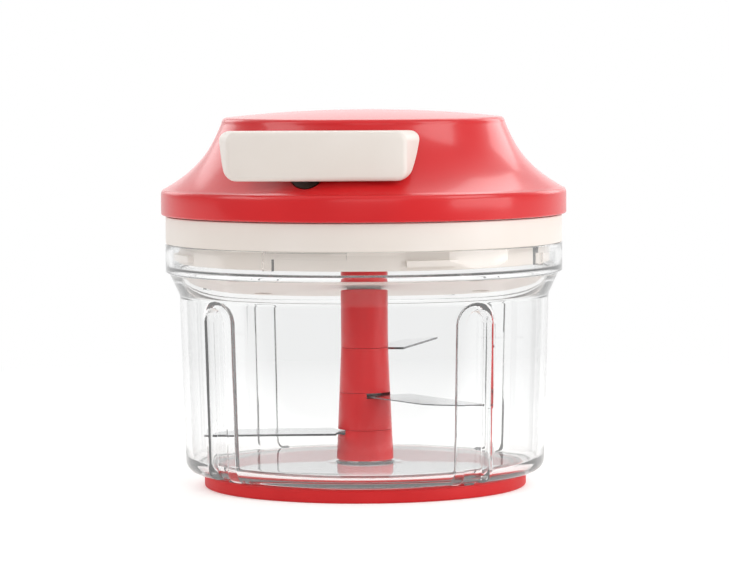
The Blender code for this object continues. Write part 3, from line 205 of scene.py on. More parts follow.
def lightStudio():
    s = SimpleNamespace(**studio)
    scene = bpy.context.scene
    scene.view_settings.view_transform = "Standard"
    world = bpy.data.worlds.new("studio")
    scene.world = world
    world.use_nodes = True
    tree = world.node_tree
    tree.nodes.clear()
    rays = put(tree, "ShaderNodeLightPath").outputs
    facing = axes(tree, put(tree, "ShaderNodeTexCoord").outputs["Generated"])
    panel = between(tree, calc(tree, "ABSOLUTE", facing["X"]), s.darkFrom, s.darkTo, 1.0, s.wallDark)
    front = between(tree, facing["Y"], -s.darkTo, -s.darkFrom, 1 - s.frontDark, 0.0)
    front = calc(tree, "SUBTRACT", 1.0, calc(tree, "MULTIPLY", mirroredPath(tree, rays), front))
    panel = calc(tree, "MULTIPLY", panel, front)
    bounced = calc(tree, "MAXIMUM", rays["Is Glossy Ray"], rays["Is Transmission Ray"])
    bounced = calc(tree, "MULTIPLY", bounced, beforeMatt(tree, rays))
    lit = mixShaders(tree, bounced, room(tree, s.ambient), room(tree, panel))
    shown = mixShaders(tree, rays["Is Camera Ray"], lit, room(tree, 1.0))
    put(tree, "ShaderNodeOutputWorld", {"Surface": shown})


def layFloor():
    s = SimpleNamespace(**studio)
    half = s.floorSize / 2
    mesh = bpy.data.meshes.new("studioFloor")
    corners = [(-half, -half, 0), (half, -half, 0), (half, half, 0), (-half, half, 0)]
    mesh.from_pydata(corners, [], [(0, 1, 2, 3)])
    floor = newObject("studioFloor", mesh)
    material, tree = newMaterial("paleFloor")
    rays = put(tree, "ShaderNodeLightPath").outputs
    spot = objectPlace(tree)
    distance = put(tree, "ShaderNodeVectorMath", {0: spot}, operation="LENGTH").outputs["Value"]
    paint = wire(tree, "ShaderNodeBsdfDiffuse", {"Color": s.floorColour})
    near = wire(tree, "ShaderNodeAddShader", {0: paint, 1: glow(tree, s.floorGlow)})
    far = glow(tree, between(tree, beforeMatt(tree, rays), 0.0, 1.0, s.ambient, 1.0))
    shown = mixShaders(tree, between(tree, distance, s.whiteFrom, s.whiteTo), near, far)
    inside = calc(tree, "LESS_THAN", distance, s.underRadius)
    shown = mixShaders(tree, inside, shown, glow(tree, s.underGlow))
    front = between(tree, axes(tree, spot)["Y"], -s.frontTo, -s.frontFrom, 1.0, 0.0)
    dark = calc(tree, "MULTIPLY", mirroredPath(tree, rays), front)
    shown = mixShaders(tree, dark, shown, glow(tree, s.frontDark))
    mesh.materials.append(finished(material, shown))


# Finishes

def newMaterial(name):
    material = bpy.data.materials.new(name)
    material.use_nodes = True
    material.node_tree.nodes.clear()
    return material, material.node_tree


def finished(material, shader):
    put(material.node_tree, "ShaderNodeOutputMaterial", {"Surface": shader})
    return material


def surfaceBump(tree, height, depth):
    return wire(tree, "ShaderNodeBump", {"Height": height, "Distance": depth * mm, "Strength": 1.0})


def noise(tree, vector, grain, detail=2.0):
    inputs = {"Vector": vector, "Scale": 1 / (grain * mm), "Detail": detail}
    return put(tree, "ShaderNodeTexNoise", inputs).outputs["Fac"]


def objectPlace(tree):
    return put(tree, "ShaderNodeTexCoord").outputs["Object"]


cloudSpan = (0.35, 0.65)         # the part of a noise's range that is stretched over a whole look
grainSpan = (0.3, 0.7)


def mouldedPlastic(name, look):
    s = SimpleNamespace(**(plainPlastic | look))
    material, tree = newMaterial(name)
    place = objectPlace(tree)
    cloud = between(tree, noise(tree, place, s.cloud), *cloudSpan)
    grain = noise(tree, place, s.grain, detail=3.0)
    relief = calc(tree, "ADD", calc(tree, "MULTIPLY", grain, s.grainShare), noise(tree, place, s.ripple))
    return finished(material, wire(tree, "ShaderNodeBsdfPrincipled", {
        "Base Color": mixColours(tree, cloud, s.colour, s.tint),
        "Roughness": between(tree, grain, *grainSpan, *s.roughness),
        "IOR": s.ior,
        "Specular IOR Level": s.shine,
        "Coat Weight": s.coat,
        "Coat Roughness": s.coatRoughness,
        "Normal": surfaceBump(tree, relief, s.relief),
    }))


plainPlastic = {                 # what most of the plastics share
    "grainShare": 0.5, "relief": 0.020, "ior": 1.48, "shine": 0.5, "coat": 0.0, "coatRoughness": 0.2,
}
plasticLooks = {                 # cloud, grain, ripple and relief are in millimetres
    "redMoulding": {
        "colour": (0.660, 0.013, 0.016, 1), "tint": (0.625, 0.010, 0.013, 1),
        "cloud": 26.0, "grain": 0.45, "ripple": 9.0, "roughness": (0.34, 0.40),
        "grainShare": 0.25, "ior": 1.5, "shine": 0.3, "coat": 0.45, "coatRoughness": 0.14,
    },
    "softRedRing": {
        "colour": (0.560, 0.014, 0.016, 1), "tint": (0.520, 0.010, 0.012, 1),
        "cloud": 18.0, "grain": 0.35, "ripple": 5.0, "roughness": (0.50, 0.60),
        "grainShare": 0.6, "relief": 0.03, "ior": 1.45, "shine": 0.3,
    },
    "creamMoulding": {
        "colour": (0.800, 0.735, 0.680, 1), "tint": (0.775, 0.705, 0.645, 1),
        "cloud": 22.0, "grain": 0.40, "ripple": 7.0, "roughness": (0.38, 0.46),
        "relief": 0.022, "ior": 1.47, "coat": 0.05,
    },
    "whiteMoulding": {
        "colour": (0.800, 0.800, 0.775, 1), "tint": (0.760, 0.760, 0.730, 1),
        "cloud": 15.0, "grain": 0.40, "ripple": 6.0, "roughness": (0.40, 0.50),
    },
    "darkMoulding": {
        "colour": (0.045, 0.030, 0.022, 1), "tint": (0.060, 0.040, 0.030, 1),
        "cloud": 8.0, "grain": 0.30, "ripple": 4.0, "roughness": (0.35, 0.48),
        "relief": 0.018,
    },
    "sealSilicone": {
        "colour": (0.780, 0.770, 0.735, 1), "tint": (0.730, 0.720, 0.690, 1),
        "cloud": 12.0, "grain": 0.30, "ripple": 4.0, "roughness": (0.55, 0.65),
        "grainShare": 0.6, "ior": 1.41, "shine": 0.4,
    },
}

clearLook = {
    "colour": (0.990, 0.993, 0.992, 1),
    "tint": (0.984, 0.988, 0.988, 1),
    "ior": 1.5,
    "roughness": (0.012, 0.030),
    "ripple": 14.0,
    "relief": 0.008,
    "shadowColour": (0.985, 0.985, 0.985, 1),
    "lastBounce": 4,             # rays still inside the clear walls after this many bounces end on a painted grey glow in place of the light beyond
    "trapped": 0.17,             # leaves it as a dark grey
}


def clearMoulding():
    s = SimpleNamespace(**clearLook)
    material, tree = newMaterial("clearMoulding")
    rays = put(tree, "ShaderNodeLightPath").outputs
    wave = noise(tree, objectPlace(tree), s.ripple)
    glass = wire(tree, "ShaderNodeBsdfPrincipled", {
        "Base Color": mixColours(tree, wave, s.colour, s.tint),
        "Roughness": between(tree, wave, *grainSpan, *s.roughness),
        "IOR": s.ior,
        "Transmission Weight": 1.0,
        "Normal": surfaceBump(tree, wave, s.relief),
    })
    # painted grey glow: deep rays show a flat grey instead of the light they would reach
    tired = calc(tree, "GREATER_THAN", rays["Ray Depth"], s.lastBounce)
    glass = mixShaders(tree, tired, glass, glow(tree, s.trapped))
    straight = wire(tree, "ShaderNodeBsdfTransparent", {"Color": s.shadowColour})
    passing = calc(tree, "MAXIMUM", rays["Is Shadow Ray"], rays["Is Diffuse Ray"])
    return finished(material, mixShaders(tree, passing, glass, straight))


steelLook = {
    "colour": (0.880, 0.885, 0.890, 1),
    "tint": (0.800, 0.805, 0.810, 1),
    # painted shade: the dark colour given to upright faces, the blades' thin edges
    "cutEdge": (0.200, 0.200, 0.205, 1),
    "edgeSlope": (0.3, 0.7),     # how upright a face's normal is, from painted-shade edge to flat side
    "roughness": (0.12, 0.24),
    "streak": (1.0, 60.0, 60.0), # how much finer the brushing is across than along
    "grain": 14.0,
    "relief": 0.006,
}


def brushedSteel(name, angle, shadedEdges=False):
    s = SimpleNamespace(**steelLook)
    material, tree = newMaterial(name)
    turned = wire(tree, "ShaderNodeMapping", {
        "Vector": objectPlace(tree), "Rotation": (0, 0, math.radians(-angle)), "Scale": s.streak})
    streak = noise(tree, turned, s.grain, detail=4.0)
    brushed = mixColours(tree, streak, s.colour, s.tint)
    # painted shade: faces standing upright are darkened, drawing the blades' edges dark
    if shadedEdges:
        normal = axes(tree, put(tree, "ShaderNodeNewGeometry").outputs["True Normal"])
        flat = between(tree, calc(tree, "ABSOLUTE", normal["Z"]), *s.edgeSlope)
        brushed = mixColours(tree, flat, s.cutEdge, brushed)
    return finished(material, wire(tree, "ShaderNodeBsdfPrincipled", {
        "Base Color": brushed,
        "Metallic": 1.0,
        "Roughness": between(tree, streak, *grainSpan, *s.roughness),
        "Normal": surfaceBump(tree, streak, s.relief),
    }))


cordLook = {
    "colour": (0.830, 0.800, 0.740, 1),
    "shade": (0.560, 0.530, 0.480, 1),
    "strandLength": 2.4,         # along the cord, for one crossing of the braid
    "strands": 4,
    "gaps": -0.6,                # how deep the shade between the strands reaches
    "roughness": (0.85, 0.65),
    "sheen": 0.2,
    "relief": 0.12,
}


def braidedNylon():
    s = SimpleNamespace(**cordLook)
    material, tree = newMaterial("braidedNylon")
    along = put(tree, "ShaderNodeAttribute", attribute_name="along").outputs["Fac"]
    around = put(tree, "ShaderNodeAttribute", attribute_name="around").outputs["Fac"]
    turn = calc(tree, "MULTIPLY", around, 2 * math.pi * s.strands)
    travel = calc(tree, "MULTIPLY", along, 2 * math.pi / (s.strandLength * mm))
    left = calc(tree, "SINE", calc(tree, "ADD", turn, travel))
    right = calc(tree, "SINE", calc(tree, "SUBTRACT", turn, travel))
    weave = between(tree, calc(tree, "MAXIMUM", left, right), s.gaps, 1.0)
    return finished(material, wire(tree, "ShaderNodeBsdfPrincipled", {
        "Base Color": mixColours(tree, weave, s.shade, s.colour),
        "Roughness": between(tree, weave, 0.0, 1.0, *s.roughness),
        "Sheen Weight": s.sheen,
        "Normal": surfaceBump(tree, weave, s.relief),
    }))


finishes = {name: mouldedPlastic(name, look) for name, look in plasticLooks.items()}
finishes["clearMoulding"] = clearMoulding()
finishes["turnedSteel"] = brushedSteel("turnedSteel", 0.0)
finishes["braidedNylon"] = braidedNylon()
finishOfSlot = {
    "red_plastic": "redMoulding", "soft_red": "softRedRing", "cream_plastic": "creamMoulding",
    "clear_plastic": "clearMoulding", "blade_steel": "turnedSteel", "white_plastic": "whiteMoulding",
    "dark_plastic": "darkMoulding", "seal_silicone": "sealSilicone", "cord_nylon": "braidedNylon",
}
placeCamera()
hangSoftboxes()
lightStudio()
layFloor()
print("studio and finishes ready:", len(finishes), "finishes")


# Shaping: everything is drawn in millimetres and turned into metres as it becomes an object

onAxis = 1e-6                    # what lies closer to the axis than this is one point on it
overrun = 4                      # how far a cutting tool reaches past what it cuts
quarter = [math.radians(90 * step / 8) for step in range(9)]


def polar(radius, angle, *height):
    return (radius * math.cos(angle), radius * math.sin(angle), *height)


def fromDrawing(name, bm, place=None):
    if place is not None:
        bm.transform(place)
    bm.transform(Matrix.Scale(mm, 4))
    bmesh.ops.recalc_face_normals(bm, faces=bm.faces)
    mesh = bpy.data.meshes.new(name)
    bm.to_mesh(mesh)
    bm.free()
    return newObject(name, mesh)


def bridge(bm, first, second):
    count = max(len(first), len(second))
    for step in range(count):
        corners = []
        for ring, index in ((first, step), (first, step + 1), (second, step + 1), (second, step)):
            vertex = ring[index % len(ring)]
            if vertex not in corners:
                corners.append(vertex)
        if len(corners) > 2:
            bm.faces.new(corners)


def rounded(corners, closed, steps=5):
    # each corner is a distance from the axis, a height and the radius of its round
    outline = []
    for index, (across, up, fillet) in enumerate(corners):
        corner = Vector((across, up))
        if fillet == 0 or (not closed and index in (0, len(corners) - 1)):
            outline.append((across, up))
            continue
        before = Vector(corners[index - 1][:2]) - corner
        after = Vector(corners[(index + 1) % len(corners)][:2]) - corner
        half = before.angle(after) / 2
        reach = min(fillet / math.tan(half), 0.49 * before.length, 0.49 * after.length)
        radius = reach * math.tan(half)
        inward = (before.normalized() + after.normalized()).normalized()
        centre = corner + inward * (radius / math.sin(half))
        start = corner + before.normalized() * reach - centre
        end = corner + after.normalized() * reach - centre
        first = math.atan2(start.y, start.x)
        sweep = (math.atan2(end.y, end.x) - first + math.pi) % (2 * math.pi) - math.pi
        for step in range(steps + 1):
            turn = first + sweep * step / steps
            outline.append((centre.x + radius * math.cos(turn), centre.y + radius * math.sin(turn)))
    return outline


def finer(outline, longest):
    result = [outline[0]]
    for (x0, z0), (x1, z1) in zip(outline, outline[1:]):
        parts = max(math.ceil(math.dist((x0, z0), (x1, z1)) / longest), 1)
        for part in range(1, parts + 1):
            result.append((x0 + (x1 - x0) * part / parts, z0 + (z1 - z0) * part / parts))
    return result


def evenTurns(sides):
    return [2 * math.pi * step / sides for step in range(sides)]


def lathe(name, outline, sides=192, place=None, turns=None):
    bm = bmesh.new()
    angles = turns or evenTurns(sides)
    rings = []
    for radius, height in outline:
        if radius < onAxis:
            rings.append([bm.verts.new((0, 0, height))])
        else:
            rings.append([bm.verts.new(polar(radius, angle, height)) for angle in angles])
    for first, second in zip(rings, rings[1:]):
        bridge(bm, first, second)
    if len(rings[0]) > 1:
        bridge(bm, rings[-1], rings[0])
    return fromDrawing(name, bm, place)


def loft(name, loops, place=None):
    bm = bmesh.new()
    rings = [[bm.verts.new(point) for point in loop] for loop in loops]
    for first, second in zip(rings, rings[1:]):
        bridge(bm, first, second)
    bm.faces.new(rings[0])
    bm.faces.new(rings[-1])
    return fromDrawing(name, bm, place)


def prism(name, outline, low, high):
    return loft(name, [[(x, y, z) for x, y in outline] for z in (low, high)])


def rod(name, radius, low, high, sides=48, place=None):
    return lathe(name, [(0, low), (radius, low), (radius, high), (0, high)], sides, place)


def bentBlock(name, inner, outer, low, high, spread, steps=16):
    turns = [math.radians(spread) * (step / steps - 0.5) for step in range(steps + 1)]
    outline = [polar(outer, turn) for turn in turns] + [polar(inner, turn) for turn in reversed(turns)]
    return prism(name, outline, low, high)


def sixSided(name, radius, low, high, turn=5.0):
    return prism(name, [polar(radius, math.radians(turn + 60 * step)) for step in range(6)], low, high)


def evaluated(item):
    depsgraph = bpy.context.evaluated_depsgraph_get()
    mesh = bpy.data.meshes.new_from_object(
        item.evaluated_get(depsgraph), preserve_all_data_layers=True, depsgraph=depsgraph)
    plain = item.data
    item.modifiers.clear()
    item.data = mesh
    bpy.data.meshes.remove(plain)
    return item


def carve(target, tools, operation="DIFFERENCE"):
    for tool in tools:
        modifier = target.modifiers.new(tool.name, "BOOLEAN")
        modifier.operation = operation
        modifier.solver = "EXACT"
        modifier.object = tool
    evaluated(target)
    for tool in tools:
        spent = tool.data
        bpy.data.objects.remove(tool, do_unlink=True)
        bpy.data.meshes.remove(spent)
    return target


def dress(item, node, *others, finish=None, sharp=32.0, body=None):
    slot = slotOf[node]
    item.data.materials.clear()
    item.data.materials.append(finish or finishes[finishOfSlot[slot]])
    item.data.polygons.foreach_set("material_index", [0] * len(item.data.polygons))
    item.data.shade_smooth()
    item.data.set_sharp_from_angle(angle=math.radians(sharp))
    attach(item, body or bodyOf[node])
    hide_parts(node, *others)
    return item


# Geometry trees, each with its sizes as named inputs

def newTree(name, sizes):
    tree = bpy.data.node_groups.new(name, "GeometryNodeTree")
    tree.interface.new_socket("Geometry", in_out="INPUT", socket_type="NodeSocketGeometry")
    tree.interface.new_socket("Geometry", in_out="OUTPUT", socket_type="NodeSocketGeometry")
    for label, kind in sizes.items():
        tree.interface.new_socket(label, in_out="INPUT", socket_type="NodeSocket" + kind)
    return tree, put(tree, "NodeGroupInput").outputs


def endTree(tree, geometry, material):
    plain = wire(tree, "GeometryNodeRealizeInstances", {"Geometry": geometry})
    painted = wire(tree, "GeometryNodeSetMaterial", {"Geometry": plain, "Material": material})
    put(tree, "NodeGroupOutput", {0: painted})
    return tree


def grow(item, tree, sizes):
    modifier = item.modifiers.new(tree.name, "NODES")
    modifier.node_group = tree
    for socket in tree.interface.items_tree:
        if socket.in_out == "INPUT" and socket.name in sizes:
            modifier[socket.identifier] = sizes[socket.name]
    return evaluated(item)


def onCircle(tree, radius, angle, height, shift=0.0):
    across = calc(tree, "MULTIPLY", radius, calc(tree, "COSINE", angle))
    away = calc(tree, "MULTIPLY", radius, calc(tree, "SINE", angle))
    return point(tree, across, calc(tree, "SUBTRACT", away, shift), height)


def ringTree():
    tree, size = newTree("ringOfCopies", {
        "Count": "Int", "Circle radius": "Float", "First angle": "Float", "Material": "Material"})
    index = wire(tree, "GeometryNodeInputIndex")
    step = calc(tree, "DIVIDE", 2 * math.pi, size["Count"])
    angle = calc(tree, "ADD", calc(tree, "MULTIPLY", index, step), size["First angle"])
    spot = onCircle(tree, size["Circle radius"], angle, 0.0)
    points = wire(tree, "GeometryNodePoints", {"Count": size["Count"], "Position": spot})
    facing = point(tree, 0.0, 0.0, angle)
    copies = wire(tree, "GeometryNodeInstanceOnPoints", {
        "Points": points, "Instance": size["Geometry"], "Rotation": facing})
    return endTree(tree, copies, size["Material"])


ringOfCopies = ringTree()


def ring(item, circleRadius, firstAngle, finish="creamMoulding", count=4):
    return grow(item, ringOfCopies, {
        "Count": count, "Circle radius": circleRadius * mm, "First angle": math.radians(firstAngle),
        "Material": finishes[finish]})


def curveThrough(tree, count, spot):
    line = wire(tree, "GeometryNodeMeshLine", {"Count": count})
    laid = wire(tree, "GeometryNodeSetPosition", {"Geometry": line, "Position": spot})
    return wire(tree, "GeometryNodeMeshToCurve", {"Mesh": laid})


def marked(tree, curve, name, value):
    return wire(tree, "GeometryNodeStoreNamedAttribute", {"Geometry": curve, "Name": name, "Value": value})


def swept(tree, curve, outline):
    return wire(tree, "GeometryNodeCurveToMesh", {
        "Curve": curve, "Profile Curve": outline, "Fill Caps": True})


def tubeAlong(tree, curve, radius, sides):
    outline = wire(tree, "GeometryNodeCurvePrimitiveCircle", {"Radius": radius, "Resolution": sides})
    parameter = put(tree, "GeometryNodeSplineParameter").outputs
    curve = marked(tree, curve, "along", parameter["Length"])
    return swept(tree, curve, marked(tree, outline, "around", parameter["Factor"]))


def windingTree():
    tree, size = newTree("cordOnDrum", {
        "Turns": "Float", "Steps per turn": "Int", "Cord line": "Float", "First height": "Float",
        "Pitch": "Float", "Lead": "Float", "Cord radius": "Float", "Cord sides": "Int",
        "Material": "Material"})
    steps = calc(tree, "ROUND", calc(tree, "MULTIPLY", size["Turns"], size["Steps per turn"]))
    index = wire(tree, "GeometryNodeInputIndex")
    wound = calc(tree, "MAXIMUM", calc(tree, "SUBTRACT", index, 1.0), 0.0)
    turn = calc(tree, "DIVIDE", wound, size["Steps per turn"])
    angle = calc(tree, "SUBTRACT", math.pi, calc(tree, "MULTIPLY", turn, 2 * math.pi))
    height = calc(tree, "ADD", size["First height"], calc(tree, "MULTIPLY", turn, size["Pitch"]))
    lead = calc(tree, "MULTIPLY", size["Lead"], calc(tree, "LESS_THAN", index, 0.5))
    spot = onCircle(tree, size["Cord line"], angle, height, lead)
    curve = curveThrough(tree, calc(tree, "ADD", steps, 2.0), spot)
    return endTree(tree, tubeAlong(tree, curve, size["Cord radius"], size["Cord sides"]), size["Material"])


def springTree():
    tree, size = newTree("flatSpiral", {
        "Turns": "Float", "Steps per turn": "Int", "First radius": "Float", "Last radius": "Float",
        "Middle height": "Float", "Strip height": "Float", "Strip thickness": "Float",
        "Material": "Material"})
    steps = calc(tree, "ROUND", calc(tree, "MULTIPLY", size["Turns"], size["Steps per turn"]))
    share = calc(tree, "DIVIDE", wire(tree, "GeometryNodeInputIndex"), steps)
    growth = calc(tree, "MULTIPLY", share, calc(tree, "SUBTRACT", size["Last radius"], size["First radius"]))
    radius = calc(tree, "ADD", size["First radius"], growth)
    angle = calc(tree, "MULTIPLY", calc(tree, "MULTIPLY", share, size["Turns"]), 2 * math.pi)
    spot = onCircle(tree, radius, angle, size["Middle height"])
    curve = curveThrough(tree, calc(tree, "ADD", steps, 1.0), spot)
    upright = wire(tree, "GeometryNodeSetCurveNormal", {"Curve": curve}, mode="Z_UP")
    strip = wire(tree, "GeometryNodeCurvePrimitiveQuadrilateral", {
        "Width": size["Strip thickness"], "Height": size["Strip height"]})
    return endTree(tree, swept(tree, upright, strip), size["Material"])


def hypotenuse(tree, *sides):
    squares = [calc(tree, "MULTIPLY", side, side) for side in sides]
    return calc(tree, "SQRT", calc(tree, "ADD", *squares))


def fluteTree():
    # Presses flutes into the bowl's wall: flat-bottomed, with steep sides and a round top
    tree, size = newTree("pressedFlutes", {
        "Flutes": "Int", "First angle": "Float", "Half width": "Float", "Depth": "Float", "Wall": "Float",
        "Arch centre": "Float", "Side": "Float", "Floor radius": "Float", "Material": "Material"})
    spot = axes(tree, wire(tree, "GeometryNodeInputPosition"))
    inner = put(tree, "GeometryNodeInputNamedAttribute", {"Name": "inner"}).outputs["Attribute"]
    radius = hypotenuse(tree, spot["X"], spot["Y"])
    step = calc(tree, "DIVIDE", 2 * math.pi, size["Flutes"])
    half = calc(tree, "DIVIDE", step, 2.0)
    angle = calc(tree, "SUBTRACT", calc(tree, "ARCTAN2", spot["Y"], spot["X"]), size["First angle"])
    turn = calc(tree, "SUBTRACT", calc(tree, "FLOORED_MODULO", calc(tree, "ADD", angle, half), step), half)
    over = calc(tree, "MAXIMUM", calc(tree, "SUBTRACT", spot["Z"], size["Arch centre"]), 0.0)
    away = hypotenuse(tree, calc(tree, "MULTIPLY", radius, turn), over)
    edge = calc(tree, "ADD", size["Half width"], calc(tree, "MULTIPLY", size["Wall"], inner))
    foot = calc(tree, "SUBTRACT", edge, size["Side"])
    pressed = between(tree, away, foot, edge, size["Depth"], 0.0, "SMOOTHSTEP")
    scale = calc(tree, "SUBTRACT", 1.0, calc(tree, "DIVIDE", pressed, radius))
    wall = calc(tree, "GREATER_THAN", radius, size["Floor radius"])
    scale = calc(tree, "ADD", 1.0, calc(tree, "MULTIPLY", wall, calc(tree, "SUBTRACT", scale, 1.0)))
    x, y = (calc(tree, "MULTIPLY", spot[axis], scale) for axis in "XY")
    shaped = wire(tree, "GeometryNodeSetPosition", {
        "Geometry": size["Geometry"], "Position": point(tree, x, y, spot["Z"])})
    return endTree(tree, shaped, size["Material"])


# Bowl, with its base ring and the hole for the pin that the blades turn on

bowlSizes = {
    "wall": 1.9, "floorUnder": 4.45, "floorTop": 6.65, "footRadius": 53.2, "topRadius": 54.7,
    "wallTop": 56.95, "innerWallTop": 56.35, "shoulderTop": 63.6, "collarRadius": 58.8, "rim": 72.25,
    "lip": 1.0, "lipRise": 0.2, "step": 65.55, "stepRadius": 54.7, "stepRound": 1.6, "corner": 5.0,
    "rimEdge": 0.3, "rimSole": 1.7, "rimInner": 43.9, "rimOuter": 46.1, "boss": 8.8, "bossDraft": 0.4,
    "bossTop": 7.3, "pinHole": 2.3, "pinHoleFoot": 5.55,
    "ledges": (55.4, 58.0, 70.05, 71.75, 25.0),  # inner and outer radius, foot, top, spread in degrees
    "ledgeAngle": -103.5,
    "stops": (55.4, 58.0, 66.65, 70.9, 3.0),
    "stopAngle": -114.5,
}
fluteSizes = {
    "count": 4, "angle": -139.0, "half": 4.8, "depth": 2.4, "side": 1.2, "archCentre": 50.4,
    "floorRadius": 46.0,
    "reach": 8.5,                # degrees to each side of a flute's middle where columns lie close
    "closeTurn": 0.25, "wideTurn": 1.0,
    "below": 1, "above": 8,      # millimetres from the arches' centre between which rows lie close
    "closeRow": 0.35, "wideRow": 3.0,
}
ringSizes = {
    "inner": 42.2, "radius": 47.8, "height": 3.7, "channelInner": 43.6, "channelOuter": 46.4, "sole": 1.4,
}


def bowlTurns():
    # columns lie close together across each flute, and further apart between them
    s = SimpleNamespace(**fluteSizes)
    pitch = 360 / s.count
    close = round(2 * s.reach / s.closeTurn) + 1
    wide = round((pitch - 2 * s.reach) / s.wideTurn)
    turns = []
    for flute in range(s.count):
        centre = s.angle + pitch * flute
        turns += [centre - s.reach + s.closeTurn * step for step in range(close)]
        turns += [centre + s.reach + s.wideTurn * step for step in range(1, wide)]
    return [math.radians(turn) for turn in turns]


def bowlRows(outline):
    # rows lie close together round the flutes' arches
    s = SimpleNamespace(**fluteSizes)
    low, high = s.archCentre - s.below, s.archCentre + s.above
    result = [outline[0]]
    for (x0, z0), (x1, z1) in zip(outline, outline[1:]):
        shares = [(height - z0) / (z1 - z0) for height in (low, high)] if z1 != z0 else []
        cuts = sorted({share for share in shares if 0 < share < 1})
        cuts = [(x0 + (x1 - x0) * share, z0 + (z1 - z0) * share) for share in cuts]
        points = [(x0, z0), *cuts, (x1, z1)]
        for first, second in zip(points, points[1:]):
            middle = (first[1] + second[1]) / 2
            result += finer([first, second], s.closeRow if low < middle < high else s.wideRow)[1:]
    return result


def makeBowl():
    s = SimpleNamespace(**bowlSizes)
    f = SimpleNamespace(**fluteSizes)
    outside = rounded([
        (0, s.floorUnder, 0), (s.rimInner, s.floorUnder, 0.4), (s.rimInner, s.rimSole, 0.4),
        (s.rimOuter, s.rimSole, 0.4), (s.rimOuter, s.floorUnder, 0.4),
        (s.footRadius, s.floorUnder, s.corner), (s.topRadius, s.wallTop, 2.5),
        (s.collarRadius - s.lip, s.shoulderTop, 1.6), (s.collarRadius, s.shoulderTop + s.lipRise, 0.5),
        (s.collarRadius, s.rim, s.rimEdge), (s.collarRadius - s.wall / 2, s.rim, 0)], False, 8)
    inside = rounded([
        outside[-1] + (0,), (s.collarRadius - s.wall, s.rim, s.rimEdge),
        (s.collarRadius - s.wall, s.step, 0.3), (s.stepRadius, s.step, s.stepRound),
        (s.topRadius - s.wall, s.innerWallTop, 3.0),
        (s.footRadius - s.wall, s.floorTop, s.corner - s.wall), (s.boss, s.floorTop, 0.3),
        (s.boss - s.bossDraft, s.bossTop, 0.3), (s.pinHole, s.bossTop, 0.2),
        (s.pinHole, s.pinHoleFoot, 0), (0, s.pinHoleFoot, 0)], False, 8)[1:]
    outside = bowlRows(outside)
    inside = bowlRows([outside[-1]] + inside)[1:]
    turns = bowlTurns()
    bowl = lathe("bowlShell", outside + inside, turns=turns)
    marks = bowl.data.attributes.new("inner", "FLOAT", "POINT")
    flags = []
    for index, (radius, _) in enumerate(outside + inside):
        flags += [float(index >= len(outside))] * (len(turns) if radius > onAxis else 1)
    marks.data.foreach_set("value", flags)
    grow(bowl, fluteTree(), {
        "Flutes": f.count, "First angle": math.radians(f.angle), "Half width": f.half * mm,
        "Depth": f.depth * mm, "Wall": s.wall * mm, "Arch centre": f.archCentre * mm,
        "Side": f.side * mm, "Floor radius": f.floorRadius * mm, "Material": finishes["clearMoulding"]})
    ledge = ring(bentBlock("ledges", *s.ledges), 0, s.ledgeAngle)
    stop = ring(bentBlock("stops", *s.stops), 0, s.stopAngle)
    carve(bowl, [ledge, stop], "UNION")
    dress(bowl, "bowl", sharp=40.0)


def makeBaseRing():
    s = SimpleNamespace(**ringSizes)
    outline = rounded([
        (s.inner, 0, 0.4), (s.radius, 0, 0.7), (s.radius, s.height, 0.9),
        (s.channelOuter, s.height, 0.2), (s.channelOuter, s.sole, 0.2),
        (s.channelInner, s.sole, 0.2), (s.channelInner, s.height, 0.2),
        (s.inner, s.height, 0.4)], True)
    dress(lathe("baseRing", outline, 256), "base_ring")


makeBowl()
makeBaseRing()
print("bowl and base ring made")


# Lid: the cream base with its columns and lugs, and the seal under its flange

lidSizes = {
    "bearing": 5.6, "sleeve": 7.6, "sleeveTop": 91.3, "skirt": 55.0, "skirtInner": 53.0, "foot": 66.65,
    "floorTop": 69.05, "flange": 58.7, "flangeUnder": 73.85, "flangeTop": 80.35, "lipInner": 57.9,
    "lipFoot": 72.40, "step": 75.85, "spigot": 57.4, "spigotInner": 55.4, "spigotTop": 84.35,
    "columnCircle": 48.0, "columnAngle": 45.0, "columnRadius": 4.2, "columnFoot": 67.05,
    "columnTop": 83.65, "recessTop": 79.65, "recessGap": 0.4, "recessSpan": (60, 90),
    "lugs": (54.0, 56.5, 67.85, 69.65, 15.6),    # inner and outer radius, foot, top, spread in degrees
    "lugAngle": -66.0,
}
sealSizes = {"inner": 55.3, "outer": 57.6, "foot": 72.55, "top": 73.55, "edge": 0.3}
screwSizes = {
    "headRadius": 2.5, "headHeight": 1.8, "headGap": 0.3, "radius": 1.3, "tip": 92.65, "point": 1.3,
    "slotHalf": 0.35, "slotDepth": 0.9,
}


